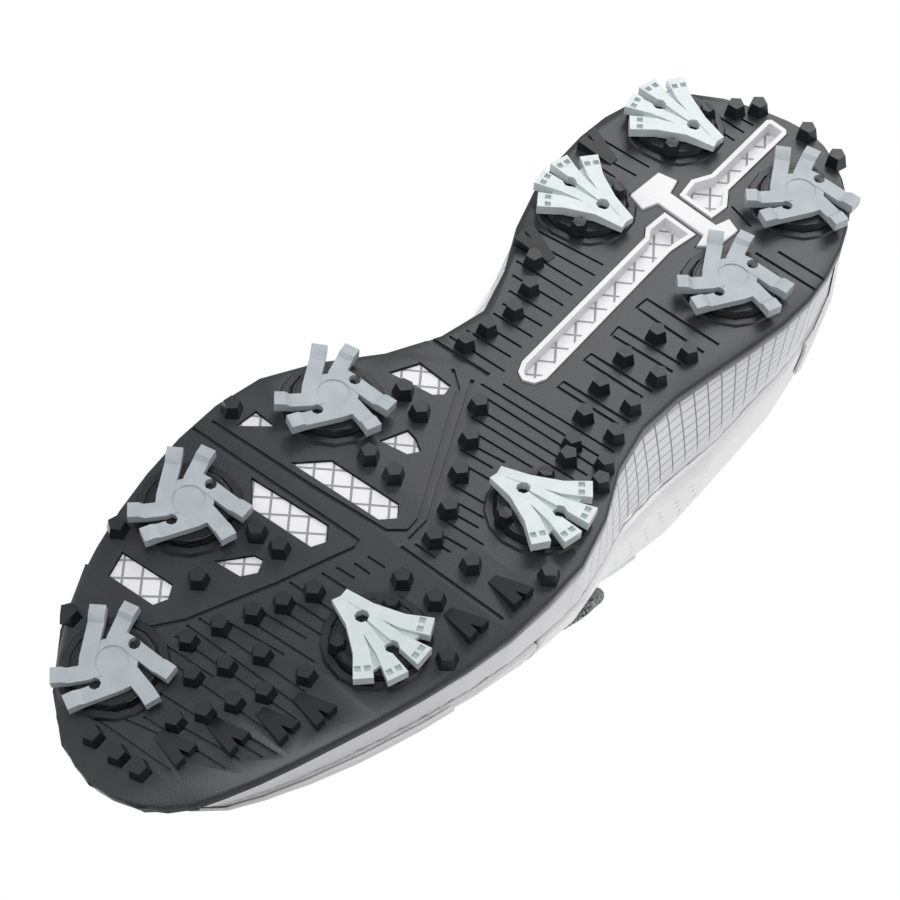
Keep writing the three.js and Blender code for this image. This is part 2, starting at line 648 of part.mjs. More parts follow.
function swirlCleat() {
  const longRadii = [0.46, 0.4, 0.5, 0.74, 0.82, 1];
  const longTurns = [20, 60, 95, 115.5, 118.5, 123.4];
  const shortRadii = [0.1, 0.4, 0.74, 0.82, 1];
  const shortTurns = [125, 143, 151, 152.5, 155];
  const lowFor = (share) => (share > 0.79 ? 0 : HUB_RISE);
  const arms = [];
  for (const third of [0, 120, 240]) {
    for (const [radii, turns] of [[longRadii, longTurns], [shortRadii, shortTurns]]) {
      const path = radii.map((share, i) => polar(share * SWIRL_REACH, turns[i] + third));
      arms.push(bar(path, radii.map(() => SWIRL_ARM), radii.map(lowFor), SWIRL_THICK));
    }
  }
  const hub = post(new THREE.Matrix4(), HUB_RISE + 0.15, SWIRL_THICK, 0.42 * SWIRL_REACH, 0.42 * SWIRL_REACH, 16);
  let solid = joined([hub, ...arms]);
  for (const turn of [-7, 188]) {
    const [x, y] = polar(WRENCH_REACH, turn);
    const hole = post(new THREE.Matrix4().makeTranslation(x, y, 0), -1, SWIRL_THICK + 1, WRENCH_HOLE, WRENCH_HOLE, 8);
    solid = solid.subtract(hole);
  }
  return solid;
}

// The fan opens along +X of its own frame.
function fanCleat() {
  const scale = FAN_REACH / 14.4;
  const blades = [];
  for (const side of [-1, 1]) {
    blades.push({ path: [[-14.4, 1.2], [-6, 3.1], [2.4, 6.9], [8.8, 11.6]], wide: [2.8, 3.3, 4.4, 5.4], side });
    blades.push({ path: [[-12, 0.6], [-4, 1.4], [6, 2.8], [14.1, 4.5]], wide: [2.4, 2.4, 3.4, 6], side });
  }
  const solids = blades.map(({ path, wide, side }) => bar(
    path.map(([x, y]) => [x * scale, y * side * scale]), wide.map((w) => w * scale),
    path.map((spot, i) => (i === 0 ? 0.9 : 0)), FAN_DEEP));
  const web = bar([[-13, 0], [-6, 0], [2, 0], [8, 0]].map(([x, y]) => [x * scale, y]),
    [3, 7.5, 11, 18].map((w) => w * scale), [0.7, 0.8, 1.2, 1.6], FAN_DEEP);
  let solid = joined([web, ...solids]);
  for (const x of FAN_HOLES) {
    const frame = new THREE.Matrix4().makeTranslation(x * scale, 0, 0);
    solid = solid.subtract(post(frame, -1, FAN_DEEP + 1, FAN_HOLE, FAN_HOLE, 8));
  }
  return solid;
}

// The black moulding under a cleat: a flange with a twist stud. A fan's carries two guard blocks.
function stud(withBlocks) {
  const level = new THREE.Matrix4();
  const low = (withBlocks ? FAN_DEEP : SWIRL_THICK) + CLEARANCE;
  let solid = post(level, low, FLANGE_TOP, STUD_FLANGE - 0.8, STUD_FLANGE);
  solid = solid.add(post(level, FLANGE_TOP - 0.5, SOLE_UP + STUD_LONG, STUD_SHAFT, STUD_SHAFT - 0.5, 12));
  if (withBlocks) {
    for (const side of [-1, 1]) {
      const block = new THREE.CylinderGeometry(2.9, 2, 3.6, 6);
      block.rotateX(Math.PI / 2);
      block.rotateZ(0.3 * side);
      block.translate(-4.6, 9.2 * side, low + 0.4 - 1.2);
      solid = solid.add(toSolid(block));
    }
  }
  return solid;
}

function receptacle() {
  const level = new THREE.Matrix4();
  const whole = post(level, SOLE_UP + CLEARANCE, RECEPTACLE_TOP, RECEPTACLE_RADIUS, RECEPTACLE_RADIUS, 16);
  const bore = post(level, 0, SOLE_UP + STUD_LONG + CLEARANCE, STUD_SHAFT + 2 * CLEARANCE, STUD_SHAFT + 2 * CLEARANCE, 12);
  return whole.subtract(bore);
}

function addCleats() {
  const swirl = toGeometry(swirlCleat());
  const fan = toGeometry(fanCleat());
  const studs = { swirl: toGeometry(stud(false)), fan: toGeometry(stud(true)) };
  const seat = toGeometry(receptacle());
  const put = (name, geometry, look, frame) => {
    const mesh = add(name, geometry, look);
    frame.decompose(mesh.position, mesh.quaternion, mesh.scale);
  };
  for (const [kind, list, geometry] of [['swirl', SWIRLS, swirl], ['fan', FANS, fan]]) {
    for (const { name, spot, turn = 0 } of list) {
      const frame = soleFrame(...spot, 0, THREE.MathUtils.degToRad(turn));
      put(`${kind}_cleat_${name}`, geometry, kind, frame);
      put(`${kind}_cleat_stud_${name}`, studs[kind], 'lug', frame);
      put(`${kind}_receptacle_${name}`, seat, 'lug', frame);
    }
  }
}

// ---- Upper ----
// Everything over a side-view line, [along, up] points from heel to toe.
function above(line, ceiling = 220) {
  const [first, last] = [line[0], line[line.length - 1]];
  const shape = new THREE.Shape([...line, [last[0], ceiling], [first[0], ceiling]]
    .map(([x, z]) => new THREE.Vector2(x * alongScale, z)));
  const geometry = new THREE.ExtrudeGeometry(shape, { depth: 240, bevelEnabled: false });
  return toSolid(reshape(geometry, (x, z, y) => spring(x, 120 - y, z)));
}

const COLLAR_LINE = [
  [-170, COLLAR_BACK], [-146, COLLAR_BACK], [-138, COLLAR_BACK - 3], [-124, mix(COLLAR_BACK, COLLAR_DIP, 0.5)],
  [-108, mix(COLLAR_BACK, COLLAR_DIP, 0.88)], [-92, COLLAR_DIP], [-76, COLLAR_DIP + 3], [-60, COLLAR_DIP + 12],
  [-48, COLLAR_DIP + 22], [-40, COLLAR_DIP + 31],
];

// The throat, in plan: narrow and round at the vamp, broad at the ankle.
function throat(grow) {
  const end = [];
  for (let i = -4; i <= 4; i += 1) {
    const [dx, dy] = polar(THROAT_NARROW + grow, i * 22.5);
    end.push([THROAT_END - THROAT_NARROW + dx, dy]);
  }
  const back = THROAT_TOP - 60;
  const outline = [...end, [THROAT_TOP, THROAT_BROAD + grow], [back, THROAT_BROAD + grow + 8],
    [back, -THROAT_BROAD - grow - 8], [THROAT_TOP, -THROAT_BROAD - grow]];
  return plate(outline.map(([x, y]) => [x * alongScale, y + 0.5]), 40, 220);
}

const ankle = () => above(COLLAR_LINE);
const upperFoot = (along) => wallTop(along) + CLEARANCE;

// A layer of the upper between two depths, without the ankle opening and the throat.
function layer(inner, outer, options = {}) {
  const { foot = upperFoot, throatGrow = 0, open = true } = options;
  let solid = body(outer, foot).subtract(body(inner, (along) => foot(along) - 6));
  if (open) {
    solid = solid.subtract(ankle());
    solid = solid.subtract(throat(throatGrow));
  }
  return solid;
}

// A box in the straight shoe, sprung with it.
function zone(from, to, outer, inner, low = -20, high = 240) {
  const steps = 8;
  const loops = [];
  for (let i = 0; i <= steps; i += 1) {
    const x = mix(from, to, i / steps);
    loops.push([[outer, low], [inner, low], [inner, high], [outer, high]].map(([y, z]) => spring(x, y, z)));
  }
  return lofted(loops);
}

const VAMP_SEAM = 34 * alongScale;
const FAR = 200;

function eyelets() {
  const spots = [];
  for (let row = 0; row < EYELET_ROWS; row += 1) {
    const t = row / (EYELET_ROWS - 1);
    const along = mix(THROAT_TOP + 7, THROAT_END - 15, t) * alongScale;
    const half = mix(THROAT_BROAD, THROAT_NARROW + 1.5, t) + EYELET_INSET;
    spots.push({ along, half });
  }
  return spots;
}

// The place on the upper's face at a distance across from the ridge.
function onCrown(along, across, grow) {
  let best = null;
  for (let i = 0; i <= 400; i += 1) {
    const spot = crown(along, i / 400, grow);
    if (!best || Math.abs(spot[1] - across) < Math.abs(best[1] - across)) best = spot;
  }
  return best;
}

function addUpper() {
  const holes = joined(laceRoutes().map((route) => toSolid(laceAlong(route, LACE_STEPS, LACE_ROOM))));
  const shell = layer(-UPPER_THICK, 0).subtract(holes);
  const wrapSpace = toeWrap(CLEARANCE);
  const heelSeam = ridgeLine(HEEL_END + END_SLIVER);
  const halfGap = CLEARANCE / 2;
  add('vamp', shell.intersect(zone(VAMP_SEAM + halfGap, FAR, -FAR, FAR)).subtract(wrapSpace), 'leather');
  add('quarter_lateral', shell.intersect(zone(-FAR, VAMP_SEAM - halfGap, -FAR, heelSeam - halfGap)), 'leather');
  add('quarter_medial', shell.intersect(zone(-FAR, VAMP_SEAM - halfGap, heelSeam + halfGap, FAR)), 'leather');

  const overlayIn = CLEARANCE;
  const overlayOut = CLEARANCE + OVERLAY_THICK;
  const trim = layer(overlayIn, overlayOut);
  add('toe_mudguard', trim.intersect(zone(66 * alongScale, FAR, -FAR, FAR))
    .subtract(above([[58, 20], [66, 24.5], [84, 30], [110, 32], [130, 33.5], [200, 38]]))
    .subtract(wrapSpace), 'leather');
  add('heel_overlay', trim.intersect(zone(-FAR, -104 * alongScale, -FAR, FAR))
    .subtract(above([[-170, 76], [-140, 76], [-122, 60], [-104, 44], [-100, 40]])), 'leather');
  const stays = layer(overlayIn, overlayOut, { throatGrow: 0.6 })
    .intersect(throat(15)).intersect(zone(THROAT_TOP * alongScale - 4, THROAT_END * alongScale + 10, -FAR, FAR, 50))
    .subtract(holes);
  add('eyestay_lateral', stays.intersect(zone(-FAR, FAR, -FAR, 0.5 - halfGap)), 'leather');
  add('eyestay_medial', stays.intersect(zone(-FAR, FAR, 0.5 + halfGap, FAR)), 'leather');

  const padOut = -UPPER_THICK - CLEARANCE;
  const padding = layer(padOut - PADDING_THICK, padOut)
    .intersect(zone(-FAR, -52 * alongScale, -FAR, FAR, 56))
    .subtract(zone(TONGUE_BACK * alongScale - CLEARANCE, FAR, -TONGUE_HALF - CLEARANCE, TONGUE_HALF + CLEARANCE, 84));
  add('collar_padding', padding, 'lining');
  const stiffener = layer(padOut - STIFFENER_THICK, padOut);
  add('heel_counter', stiffener.intersect(zone(-FAR, -84 * alongScale, -FAR, FAR, -20, 56 - CLEARANCE)), 'board');
  add('toe_puff', stiffener.intersect(zone(104 * alongScale, FAR, -FAR, FAR)), 'board');

  const tongueOut = -UPPER_THICK - CLEARANCE;
  const tongue = body(tongueOut, (along) => widestUp(along) - 10)
    .subtract(body(tongueOut - TONGUE_THICK, (along) => widestUp(along) - 20))
    .intersect(throat(8))
    .intersect(zone(TONGUE_BACK * alongScale, THROAT_END * alongScale + 14, -TONGUE_HALF, TONGUE_HALF, 55))
    .subtract(zone(-FAR, -52 * alongScale + CLEARANCE, -FAR, FAR, -20, 84))
    .subtract(holes);
  add('tongue', tongue, 'lining');
}

// ---- Inside the sole ----
function addBeds() {
  const gap = UPPER_THICK + 2 * CLEARANCE + 1.2;
  const inside = body(-gap - 0.6, (along) => bedTop(along) + CLEARANCE, 4, 20);
  const under = (lift) => {
    const line = [];
    for (let along = -160; along <= 170; along += 10) line.push([along, bedTop(along * alongScale) + lift]);
    return line;
  };
  const strobelTop = CLEARANCE + STROBEL_THICK;
  const strobel = inside.subtract(above(under(strobelTop)));
  add('strobel_board', strobel, 'board');
  const linerLow = strobelTop + CLEARANCE;
  const slim = body(-gap - PADDING_THICK, (along) => bedTop(along) + linerLow, 4, 20);
  add('sockliner', slim.subtract(above(under(linerLow + SOCKLINER_THICK))), 'lining');
}

// ---- Laces ----
const LACE_STEPS = 8;
const LACE_ROOM = 1.3 * CLEARANCE;
function laceAlong(points, steps, grow = 0) {
  const path = new THREE.CatmullRomCurve3(points.map((p) => new THREE.Vector3(...p)), false, 'centripetal');
  const section = new THREE.Shape().absellipse(0, 0, LACE_WIDE + grow, LACE_THICK + grow, 0, Math.PI * 2);
  return new THREE.ExtrudeGeometry(section, { steps, curveSegments: 4, extrudePath: path });
}

// Each row runs over the eyestays and dives through an eyelet at both ends.
function laceRoutes() {
  const over = CLEARANCE + OVERLAY_THICK + LACE_THICK + CLEARANCE;
  return eyelets().map(({ along, half }) => {
    const shares = [-1, -0.94, -0.82, -0.5, 0, 0.5, 0.82, 0.94, 1];
    return shares.map((share) => {
      const dives = Math.abs(share) === 1;
      return spring(...onCrown(along, share * half, dives ? -0.9 : over));
    });
  });
}

// The bow lies over the rows and the quarters. Its points are [along, across, lift off the upper's face].
const BOW_LOOP = [
  [-34.6, 3, 7.6], [-40, 7, 7.4], [-42, 14, 6.8], [-39, 22, 5.2], [-32, 28.5, 5], [-23, 32.5, 5], [-13, 33.5, 5],
  [-3.5, 31.5, 5], [1, 26, 5], [-1, 20, 6.2], [-8, 15, 7.4], [-17, 11.5, 7.6], [-26, 8, 7.6],
  [-30, 4, 7.6],
];
const BOW_END = [
  [-26.4, 2.3, 7.8], [-22, 3.5, 8.2], [-13, 4.5, 7.8], [-4, 7, 7.6], [5, 10.5, 7.6], [13, 14.5, 7.4], [20, 18.5, 7.2], [26, 21.5, 7.2],
];
const KNOT = { along: -31, lift: 7.6, halfLong: 5.6, halfWide: 4.6, halfThick: 3.2, tilt: 0.5 };
const CORD_RADIUS = 1.7;
const AGLET_RADIUS = 1.5;

const onFace = (side) => ([along, across, lift]) => (
  new THREE.Vector3(...spring(...onCrown(along * alongScale, side * across, lift))));

function cord(points, radius, steps) {
  const path = new THREE.CatmullRomCurve3(points, false, 'centripetal');
  const round = new THREE.Shape().absarc(0, 0, radius, 0, Math.PI * 2);
  return new THREE.ExtrudeGeometry(round, { steps, curveSegments: 4, extrudePath: path });
}

// The knot as a flattened ball, or the room around it. The cords run into it and are cut off at its face.
function knot(grow) {
  const ball = new THREE.SphereGeometry(1, 10, 7);
  ball.scale(KNOT.halfLong + grow, KNOT.halfWide + grow, KNOT.halfThick + grow);
  ball.rotateY(KNOT.tilt);
  const seat = onFace(1)([KNOT.along, 0, KNOT.lift]);
  return toSolid(ball.translate(seat.x, seat.y, seat.z));
}

function addLaces() {
  laceRoutes().forEach((route, row) => add(`lace_row_${row + 1}`, laceAlong(route, LACE_STEPS), 'lace'));
  add('lace_knot', knot(0), 'lace');
  const aroundKnot = knot(CLEARANCE);
  for (const [sideName, side] of [['lateral', -1], ['medial', 1]]) {
    const loop = toSolid(cord(BOW_LOOP.map(onFace(side)), CORD_RADIUS, 20));
    add(`lace_loop_${sideName}`, loop.subtract(aroundKnot), 'lace');
    const end = BOW_END.map(onFace(side));
    add(`lace_end_${sideName}`, toSolid(cord(end, CORD_RADIUS, 11)).subtract(aroundKnot), 'lace');
    const tip = end[end.length - 1];
    const aim = new THREE.CatmullRomCurve3(end, false, 'centripetal').getTangent(1);
    const start = tip.clone().addScaledVector(aim, CLEARANCE);
    const stop = tip.clone().addScaledVector(aim, AGLET_LONG);
    add(`aglet_${sideName}`, cord([start, stop], AGLET_RADIUS, 1), 'plate');
  }
}

add('outsole', outsole(), 'tpu');
add('chassis', chassis(), 'plate');
add('channel_bridge', bridge(), 'plate');
add('midsole', midsole(), 'foam');
addCleats();
addUpper();
addBeds();
addLaces();

// The origin is under the middle of the shoe, on the ground.
const box = new THREE.Box3().setFromObject(shoe);
const middle = box.getCenter(new THREE.Vector3());
shoe.position.set(-middle.x, -middle.y, -box.min.z);
shoe.updateMatrixWorld(true);

export default shoe;
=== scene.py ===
import json
import math

import bmesh
import bpy
from mathutils import Matrix, Vector

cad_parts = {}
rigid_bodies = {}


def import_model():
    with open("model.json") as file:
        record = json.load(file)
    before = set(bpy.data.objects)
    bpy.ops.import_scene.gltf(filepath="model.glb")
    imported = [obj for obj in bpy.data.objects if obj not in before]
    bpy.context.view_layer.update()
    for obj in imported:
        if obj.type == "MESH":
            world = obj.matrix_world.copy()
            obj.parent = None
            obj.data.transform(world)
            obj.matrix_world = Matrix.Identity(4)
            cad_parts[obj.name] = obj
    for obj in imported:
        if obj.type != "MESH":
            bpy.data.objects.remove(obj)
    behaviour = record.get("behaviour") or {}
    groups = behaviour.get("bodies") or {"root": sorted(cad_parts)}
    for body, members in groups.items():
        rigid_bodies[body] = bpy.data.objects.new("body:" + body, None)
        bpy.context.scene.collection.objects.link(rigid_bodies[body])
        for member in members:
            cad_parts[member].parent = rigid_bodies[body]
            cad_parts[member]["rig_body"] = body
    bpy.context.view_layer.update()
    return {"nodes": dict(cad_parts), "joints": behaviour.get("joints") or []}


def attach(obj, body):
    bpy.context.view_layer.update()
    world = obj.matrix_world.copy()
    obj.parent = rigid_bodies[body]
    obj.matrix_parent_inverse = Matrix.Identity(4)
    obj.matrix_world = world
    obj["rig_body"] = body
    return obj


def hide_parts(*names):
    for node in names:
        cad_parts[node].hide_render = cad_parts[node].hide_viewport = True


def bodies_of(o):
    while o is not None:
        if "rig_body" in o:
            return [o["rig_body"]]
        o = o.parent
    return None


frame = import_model()
MM = 0.001

# ---- The shoe's own measures, in millimetres ----
# "Along" runs from heel to toe, "across" to the inner side, "up" from the ground.
# Past SPRING_START the sole is wrapped on a circle, which lifts the toe.
SPRING_START = 24
SPRING_RADIUS = 375
SOLE_UP = 5.8
GROOVE_DEEP = 0.8
GROOVE_OVER = 0.4           # a groove's cutter starts this far outside the sole's face
LACE_DIAMETER = 3.4

# The joint of swirl cleat 4 stands at this place of the flat heel, which ties the measures to the frame.
TIE_JOINT = "swirl_cleat_twist_4"
TIE_ALONG, TIE_ACROSS = -125.9, -10.9
tie = next(j["pos_m"] for j in frame["joints"] if j["name"] == TIE_JOINT)
ORIGIN = Vector((tie[0] - TIE_ALONG * MM, tie[1] - TIE_ACROSS * MM, tie[2]))


def sprung(along, across, up):
    """A place on the straight shoe, in millimetres, as a point of the frame, in metres."""
    if along > SPRING_START:
        angle = (along - SPRING_START) / SPRING_RADIUS
        reach = SPRING_RADIUS - up
        along = SPRING_START + reach * math.sin(angle)
        up = SPRING_RADIUS - reach * math.cos(angle)
    return ORIGIN + Vector((along, across, up)) * MM


# ---- Camera: low at the toe's outer side, looking up at the sole ----
CAMERA_TARGET = (16.3, -4.2, 0)
CAMERA_AZIMUTH, CAMERA_ELEVATION, CAMERA_ROLL = 53.89, -51.58, -172.5
CAMERA_AWAY = 991.2
CAMERA_LENS, CAMERA_SENSOR = 149.15, 36
CAMERA_FAR = 50


def direction(azimuth, elevation):
    """Unit vector from the shoe. Azimuth 0 is the outer side, and 90 the toe."""
    a, e = math.radians(azimuth), math.radians(elevation)
    return Vector((math.sin(a) * math.cos(e), -math.cos(a) * math.cos(e), math.sin(e)))


def make_camera():
    data = bpy.data.cameras.new("camera")
    camera = bpy.data.objects.new("camera", data)
    bpy.context.scene.collection.objects.link(camera)
    back = direction(CAMERA_AZIMUTH, CAMERA_ELEVATION)
    upright = (-back).to_track_quat("-Z", "Y").to_matrix()
    roll = upright @ Matrix.Rotation(math.radians(CAMERA_ROLL), 3, "Z")
    camera.rotation_mode = "QUATERNION"
    camera.rotation_quaternion = roll.to_quaternion()
    camera.location = ORIGIN + (Vector(CAMERA_TARGET) + back * CAMERA_AWAY) * MM
    data.lens = CAMERA_LENS
    data.sensor_width = CAMERA_SENSOR
    data.clip_end = CAMERA_FAR
    bpy.context.scene.camera = camera


make_camera()

# ---- Materials ----


def linear(code):
    """A hex sRGB colour as linear RGBA."""
    parts = [int(code[i:i + 2], 16) / 255 for i in (1, 3, 5)]
    return [c / 12.92 if c <= 0.04045 else ((c + 0.055) / 1.055) ** 2.4 for c in parts] + [1]


def add(tree, kind, links=None, out=0, **settings):
    """Adds a node and returns one of its outputs. links maps an input to a value or to another output."""
    made = tree.nodes.new(kind)
    for name, value in settings.items():
        setattr(made, name, value)
    for key, value in (links or {}).items():
        if isinstance(value, bpy.types.NodeSocket):
            tree.links.new(value, made.inputs[key])
        else:
            made.inputs[key].default_value = value
    return made.outputs[out]


def start(name, roughness, sheen=0):
    """A material with its shader, and the piece's own coordinates in metres."""
    made = bpy.data.materials.new(name)
    made.use_nodes = True
    tree = made.node_tree
    shader = tree.nodes["Principled BSDF"]
    shader.inputs["Roughness"].default_value = roughness
    shader.inputs["Sheen Weight"].default_value = sheen
    return made, tree, shader, add(tree, "ShaderNodeTexCoord", out="Object")


def of_size(place, size_mm, detail=4):
    """The inputs of a random grain of that size."""
    return {"Vector": place, "Scale": 1 / (size_mm * MM), "Detail": detail}


def surfaced(tree, shader, pattern, low, high, height, deep_mm, strength=1.0):
    """Colours a surface between two hex colours by a pattern, and raises it by a height."""
    colour = add(tree, "ShaderNodeMix", {0: pattern, 6: linear(low), 7: linear(high)}, 2, data_type="RGBA")
    tree.links.new(colour, shader.inputs["Base Color"])
    bump = add(tree, "ShaderNodeBump", {"Height": height, "Distance": deep_mm * MM, "Strength": strength})
    tree.links.new(bump, shader.inputs["Normal"])


LINE_CORE, LINE_EDGE = 0.35, 0.6      # where a line starts and stops to fade, as shares of its width


def lines(tree, place, run, pitch_mm, width):
    """Lines across a direction: 1 on a line, 0 between, width as a share of the pitch."""
    stretched = Vector(run) / (pitch_mm * MM)
    steps = add(tree, "ShaderNodeVectorMath", {0: place, 1: stretched}, "Value", operation="DOT_PRODUCT")
    part = add(tree, "ShaderNodeMath", {0: steps}, operation="FRACT")
    centred = add(tree, "ShaderNodeMath", {0: part, 1: 0.5}, operation="SUBTRACT")
    away = add(tree, "ShaderNodeMath", {0: centred}, operation="ABSOLUTE")
    core, edge = width * LINE_CORE, width * LINE_EDGE
    limits = {"Value": away, "From Min": core, "From Max": edge, "To Min": 1, "To Max": 0}
    return add(tree, "ShaderNodeMapRange", limits, interpolation_type="SMOOTHSTEP")


def within(tree, pattern, value, low, low_end, high, high_end):
    """A pattern kept between two values, fading out at both ends."""
    for outer, inner in ((low, low_end), (high, high_end)):
        fade = add(tree, "ShaderNodeMapRange", {"Value": value, "From Min": outer, "From Max": inner})
        pattern = add(tree, "ShaderNodeMath", {0: pattern, 1: fade}, operation="MULTIPLY")
    return pattern


def grained(name, roughness, size_mm, low, high, deep_mm, strength=1.0, relief_mm=None):
    """A material with a random grain in its colour and relief. A relief of its own size makes flow marks."""
    made, tree, shader, place = start(name, roughness)
    detail = 2 if relief_mm else 4
    grain = add(tree, "ShaderNodeTexNoise", of_size(place, size_mm, detail), "Fac")
    height = add(tree, "ShaderNodeTexNoise", of_size(place, relief_mm), "Fac") if relief_mm else grain
    surfaced(tree, shader, grain, low, high, height, deep_mm, strength)
    return made


# Thermoplastic polyurethane from a spark-eroded mould: dark, satin, with a fine even grain.
TPU = grained("moulded_tpu", 0.36, 0.6, "#28292d", "#393a3f", 0.05, 0.6)
# The harder, darker polyurethane of the sole's own studs: near black, satin.
STUD = grained("stud_tpu", 0.38, 0.6, "#18191b", "#26272a", 0.05, 0.5)
# Soft urethane of the swirl cleats: cool grey, satin, faint flow marks.
SWIRL_GREY = grained("moulded_grey_urethane", 0.44, 6, "#a0a9af", "#bcc4c9", 0.03, 0.5, relief_mm=0.4)
# Gloss urethane of the fan cleats: pale green-grey, polished in the mould.
FAN_PALE = grained("moulded_pale_urethane", 0.28, 4, "#c8d4d5", "#e2e9e9", 0.02, 0.4, relief_mm=0.5)
# White polyurethane of the bridge and of the plate's lip: satin, with a fine mould grain.
SMOOTH_WHITE = grained("smooth_white_tpu", 0.38, 0.7, "#e6e5e8", "#f3f2f4", 0.03, 0.4)
# White coated microfibre: fine leather grain and a soft shine.
MICROFIBRE = grained("coated_microfibre", 0.5, 0.8, "#eeeeef", "#fafafa", 0.08, 0.7)
# Pressed fibre board: buff, dry, with short fibres.
BOARD = grained("pressed_board", 0.9, 1.4, "#cbc7bb", "#e2dfd6", 0.1)

RING_PITCH, RING_WIDTH, SPECK_SHARE = 2.4, 0.3, 0.15


def moulded_nylon():
    """Glass-filled nylon of the cleats' bases: near black, satin, ringed about the cleat's middle."""
    made, tree, shader, place = start("moulded_nylon", 0.36)
    speck = add(tree, "ShaderNodeTexNoise", of_size(place, 0.5), "Fac")
    flat = add(tree, "ShaderNodeVectorMath", {0: place, 1: (1, 1, 0)}, operation="MULTIPLY")
    reach = add(tree, "ShaderNodeVectorMath", {0: flat}, "Value", operation="LENGTH")
    outward = add(tree, "ShaderNodeCombineXYZ", {"X": reach})
    rings = lines(tree, outward, (1, 0, 0), RING_PITCH, RING_WIDTH)
    low_speck = add(tree, "ShaderNodeMath", {0: speck, 1: SPECK_SHARE}, operation="MULTIPLY")
    height = add(tree, "ShaderNodeMath", {0: rings, 1: low_speck}, operation="ADD")
    surfaced(tree, shader, speck, "#141517", "#222327", height, 0.35)
    return made


HATCH_PITCH, HATCH_WIDTH = 5.2, 0.11
HATCH_RUNS = ((0.62, 0.78, 0), (0.78, -0.62, 0))


def hatched_white_tpu_painted_shade():
    """White moulded plate: crossed lines in diamonds, sunk, and greyed with painted shade."""
    made, tree, shader, place = start("hatched_white_tpu_painted_shade", 0.4)
    one, two = (lines(tree, place, run, HATCH_PITCH, HATCH_WIDTH) for run in HATCH_RUNS)
    hatch_and_painted_shade = add(tree, "ShaderNodeMath", {0: one, 1: two}, operation="MAXIMUM")
    # The grey of the sunk lines is painted shade: the white plate is just as white inside its grooves.
    surfaced(tree, shader, hatch_and_painted_shade, "#f1f0f2", "#9b9ca1", hatch_and_painted_shade, -0.35)
    return made


RIB_RUN, RIB_PITCH, RIB_WIDTH = (0.97, 0, -0.25), 5.3, 0.1
LINE_RUN, LINE_PITCH, LINE_WIDTH = (0.03, 0, 1), 2.1, 0.2
NET_ALONG = (-0.125, -0.1, 0.03, -0.01)
NET_UP = (0.008, 0.010, 0.0265, 0.0235)
FAINT, PEBBLE_SHARE = 0.5, 0.2


def moulded_foam_painted_shade():
    """EVA foam with its moulded skin: white, matt, pebbled, with moulded netting on the waist's walls, its
    sunk ribs and lines greyed with painted shade.
    """
    made, tree, shader, place = start("moulded_foam_painted_shade", 0.6)
    pebble = add(tree, "ShaderNodeTexNoise", of_size(place, 1.1), "Fac")
    parts = add(tree, "ShaderNodeSeparateXYZ", {0: place}).node.outputs
    ribs = lines(tree, place, RIB_RUN, RIB_PITCH, RIB_WIDTH)
    fine = lines(tree, place, LINE_RUN, LINE_PITCH, LINE_WIDTH)
    faint = add(tree, "ShaderNodeMath", {0: fine, 1: FAINT}, operation="MULTIPLY")
    net_and_painted_shade = add(tree, "ShaderNodeMath", {0: ribs, 1: faint}, operation="MAXIMUM")
    net_and_painted_shade = within(tree, net_and_painted_shade, parts["X"], *NET_ALONG)
    net_and_painted_shade = within(tree, net_and_painted_shade, parts["Z"], *NET_UP)
    low_pebble = add(tree, "ShaderNodeMath", {0: pebble, 1: PEBBLE_SHARE}, operation="MULTIPLY")
    height = add(tree, "ShaderNodeMath", {0: net_and_painted_shade, 1: low_pebble}, operation="SUBTRACT")
    # The grey of the sunk ribs and lines is painted shade: the foam is just as white inside them.
    surfaced(tree, shader, net_and_painted_shade, "#f6f6f8", "#97989d", height, -0.12, 0.7)
    return made


# A slit is where a line of each kind crosses: SLIT_PITCH apart along, SLIT_ROWS apart up.
SLIT_RUN, SLIT_PITCH, SLIT_LENGTH = (1, 0, 0.5), 7.0, 0.2
ROW_RUN, SLIT_ROWS, SLIT_WIDTH = (-0.3, 0, 1), 5.6, 0.1
SLITS_ALONG = (-0.052, -0.05, 0.02, 0.018)
SLITS_UP = (0.036, 0.037, 0.066, 0.065)
PORE_SHARE = 0.4


def slit_microfibre_painted_shade():
    """The quarters' coated microfibre: fine grain and rows of short slit cuts for air, the dark of each
    cut's opening being painted shade.
    """
    made, tree, shader, place = start("slit_microfibre_painted_shade", 0.5)
    parts = add(tree, "ShaderNodeSeparateXYZ", {0: place}).node.outputs
    along = lines(tree, place, SLIT_RUN, SLIT_PITCH, SLIT_LENGTH)
    rows = lines(tree, place, ROW_RUN, SLIT_ROWS, SLIT_WIDTH)
    slits_and_painted_shade = add(tree, "ShaderNodeMath", {0: along, 1: rows}, operation="MULTIPLY")
    slits_and_painted_shade = within(tree, slits_and_painted_shade, parts["X"], *SLITS_ALONG)
    slits_and_painted_shade = within(tree, slits_and_painted_shade, parts["Z"], *SLITS_UP)
    pores = add(tree, "ShaderNodeTexNoise", of_size(place, 0.8), "Fac")
    low_pores = add(tree, "ShaderNodeMath", {0: pores, 1: PORE_SHARE}, operation="MULTIPLY")
    height = add(tree, "ShaderNodeMath", {0: slits_and_painted_shade, 1: low_pores}, operation="SUBTRACT")
    # The dark grey of the cuts is painted shade: a cut's opening has no colour of its own.
    surfaced(tree, shader, slits_and_painted_shade, "#f7f7f8", "#77787c", height, -0.15)
    return made


# The real stitches are finer: a pattern that fine would not show, so they are drawn coarser.
STITCH_PITCH, STITCH_WIDTH = 1.2, 0.5
STITCH_RUNS = ((0.7, 0.1, 0.7), (0.7, -0.1, -0.7))


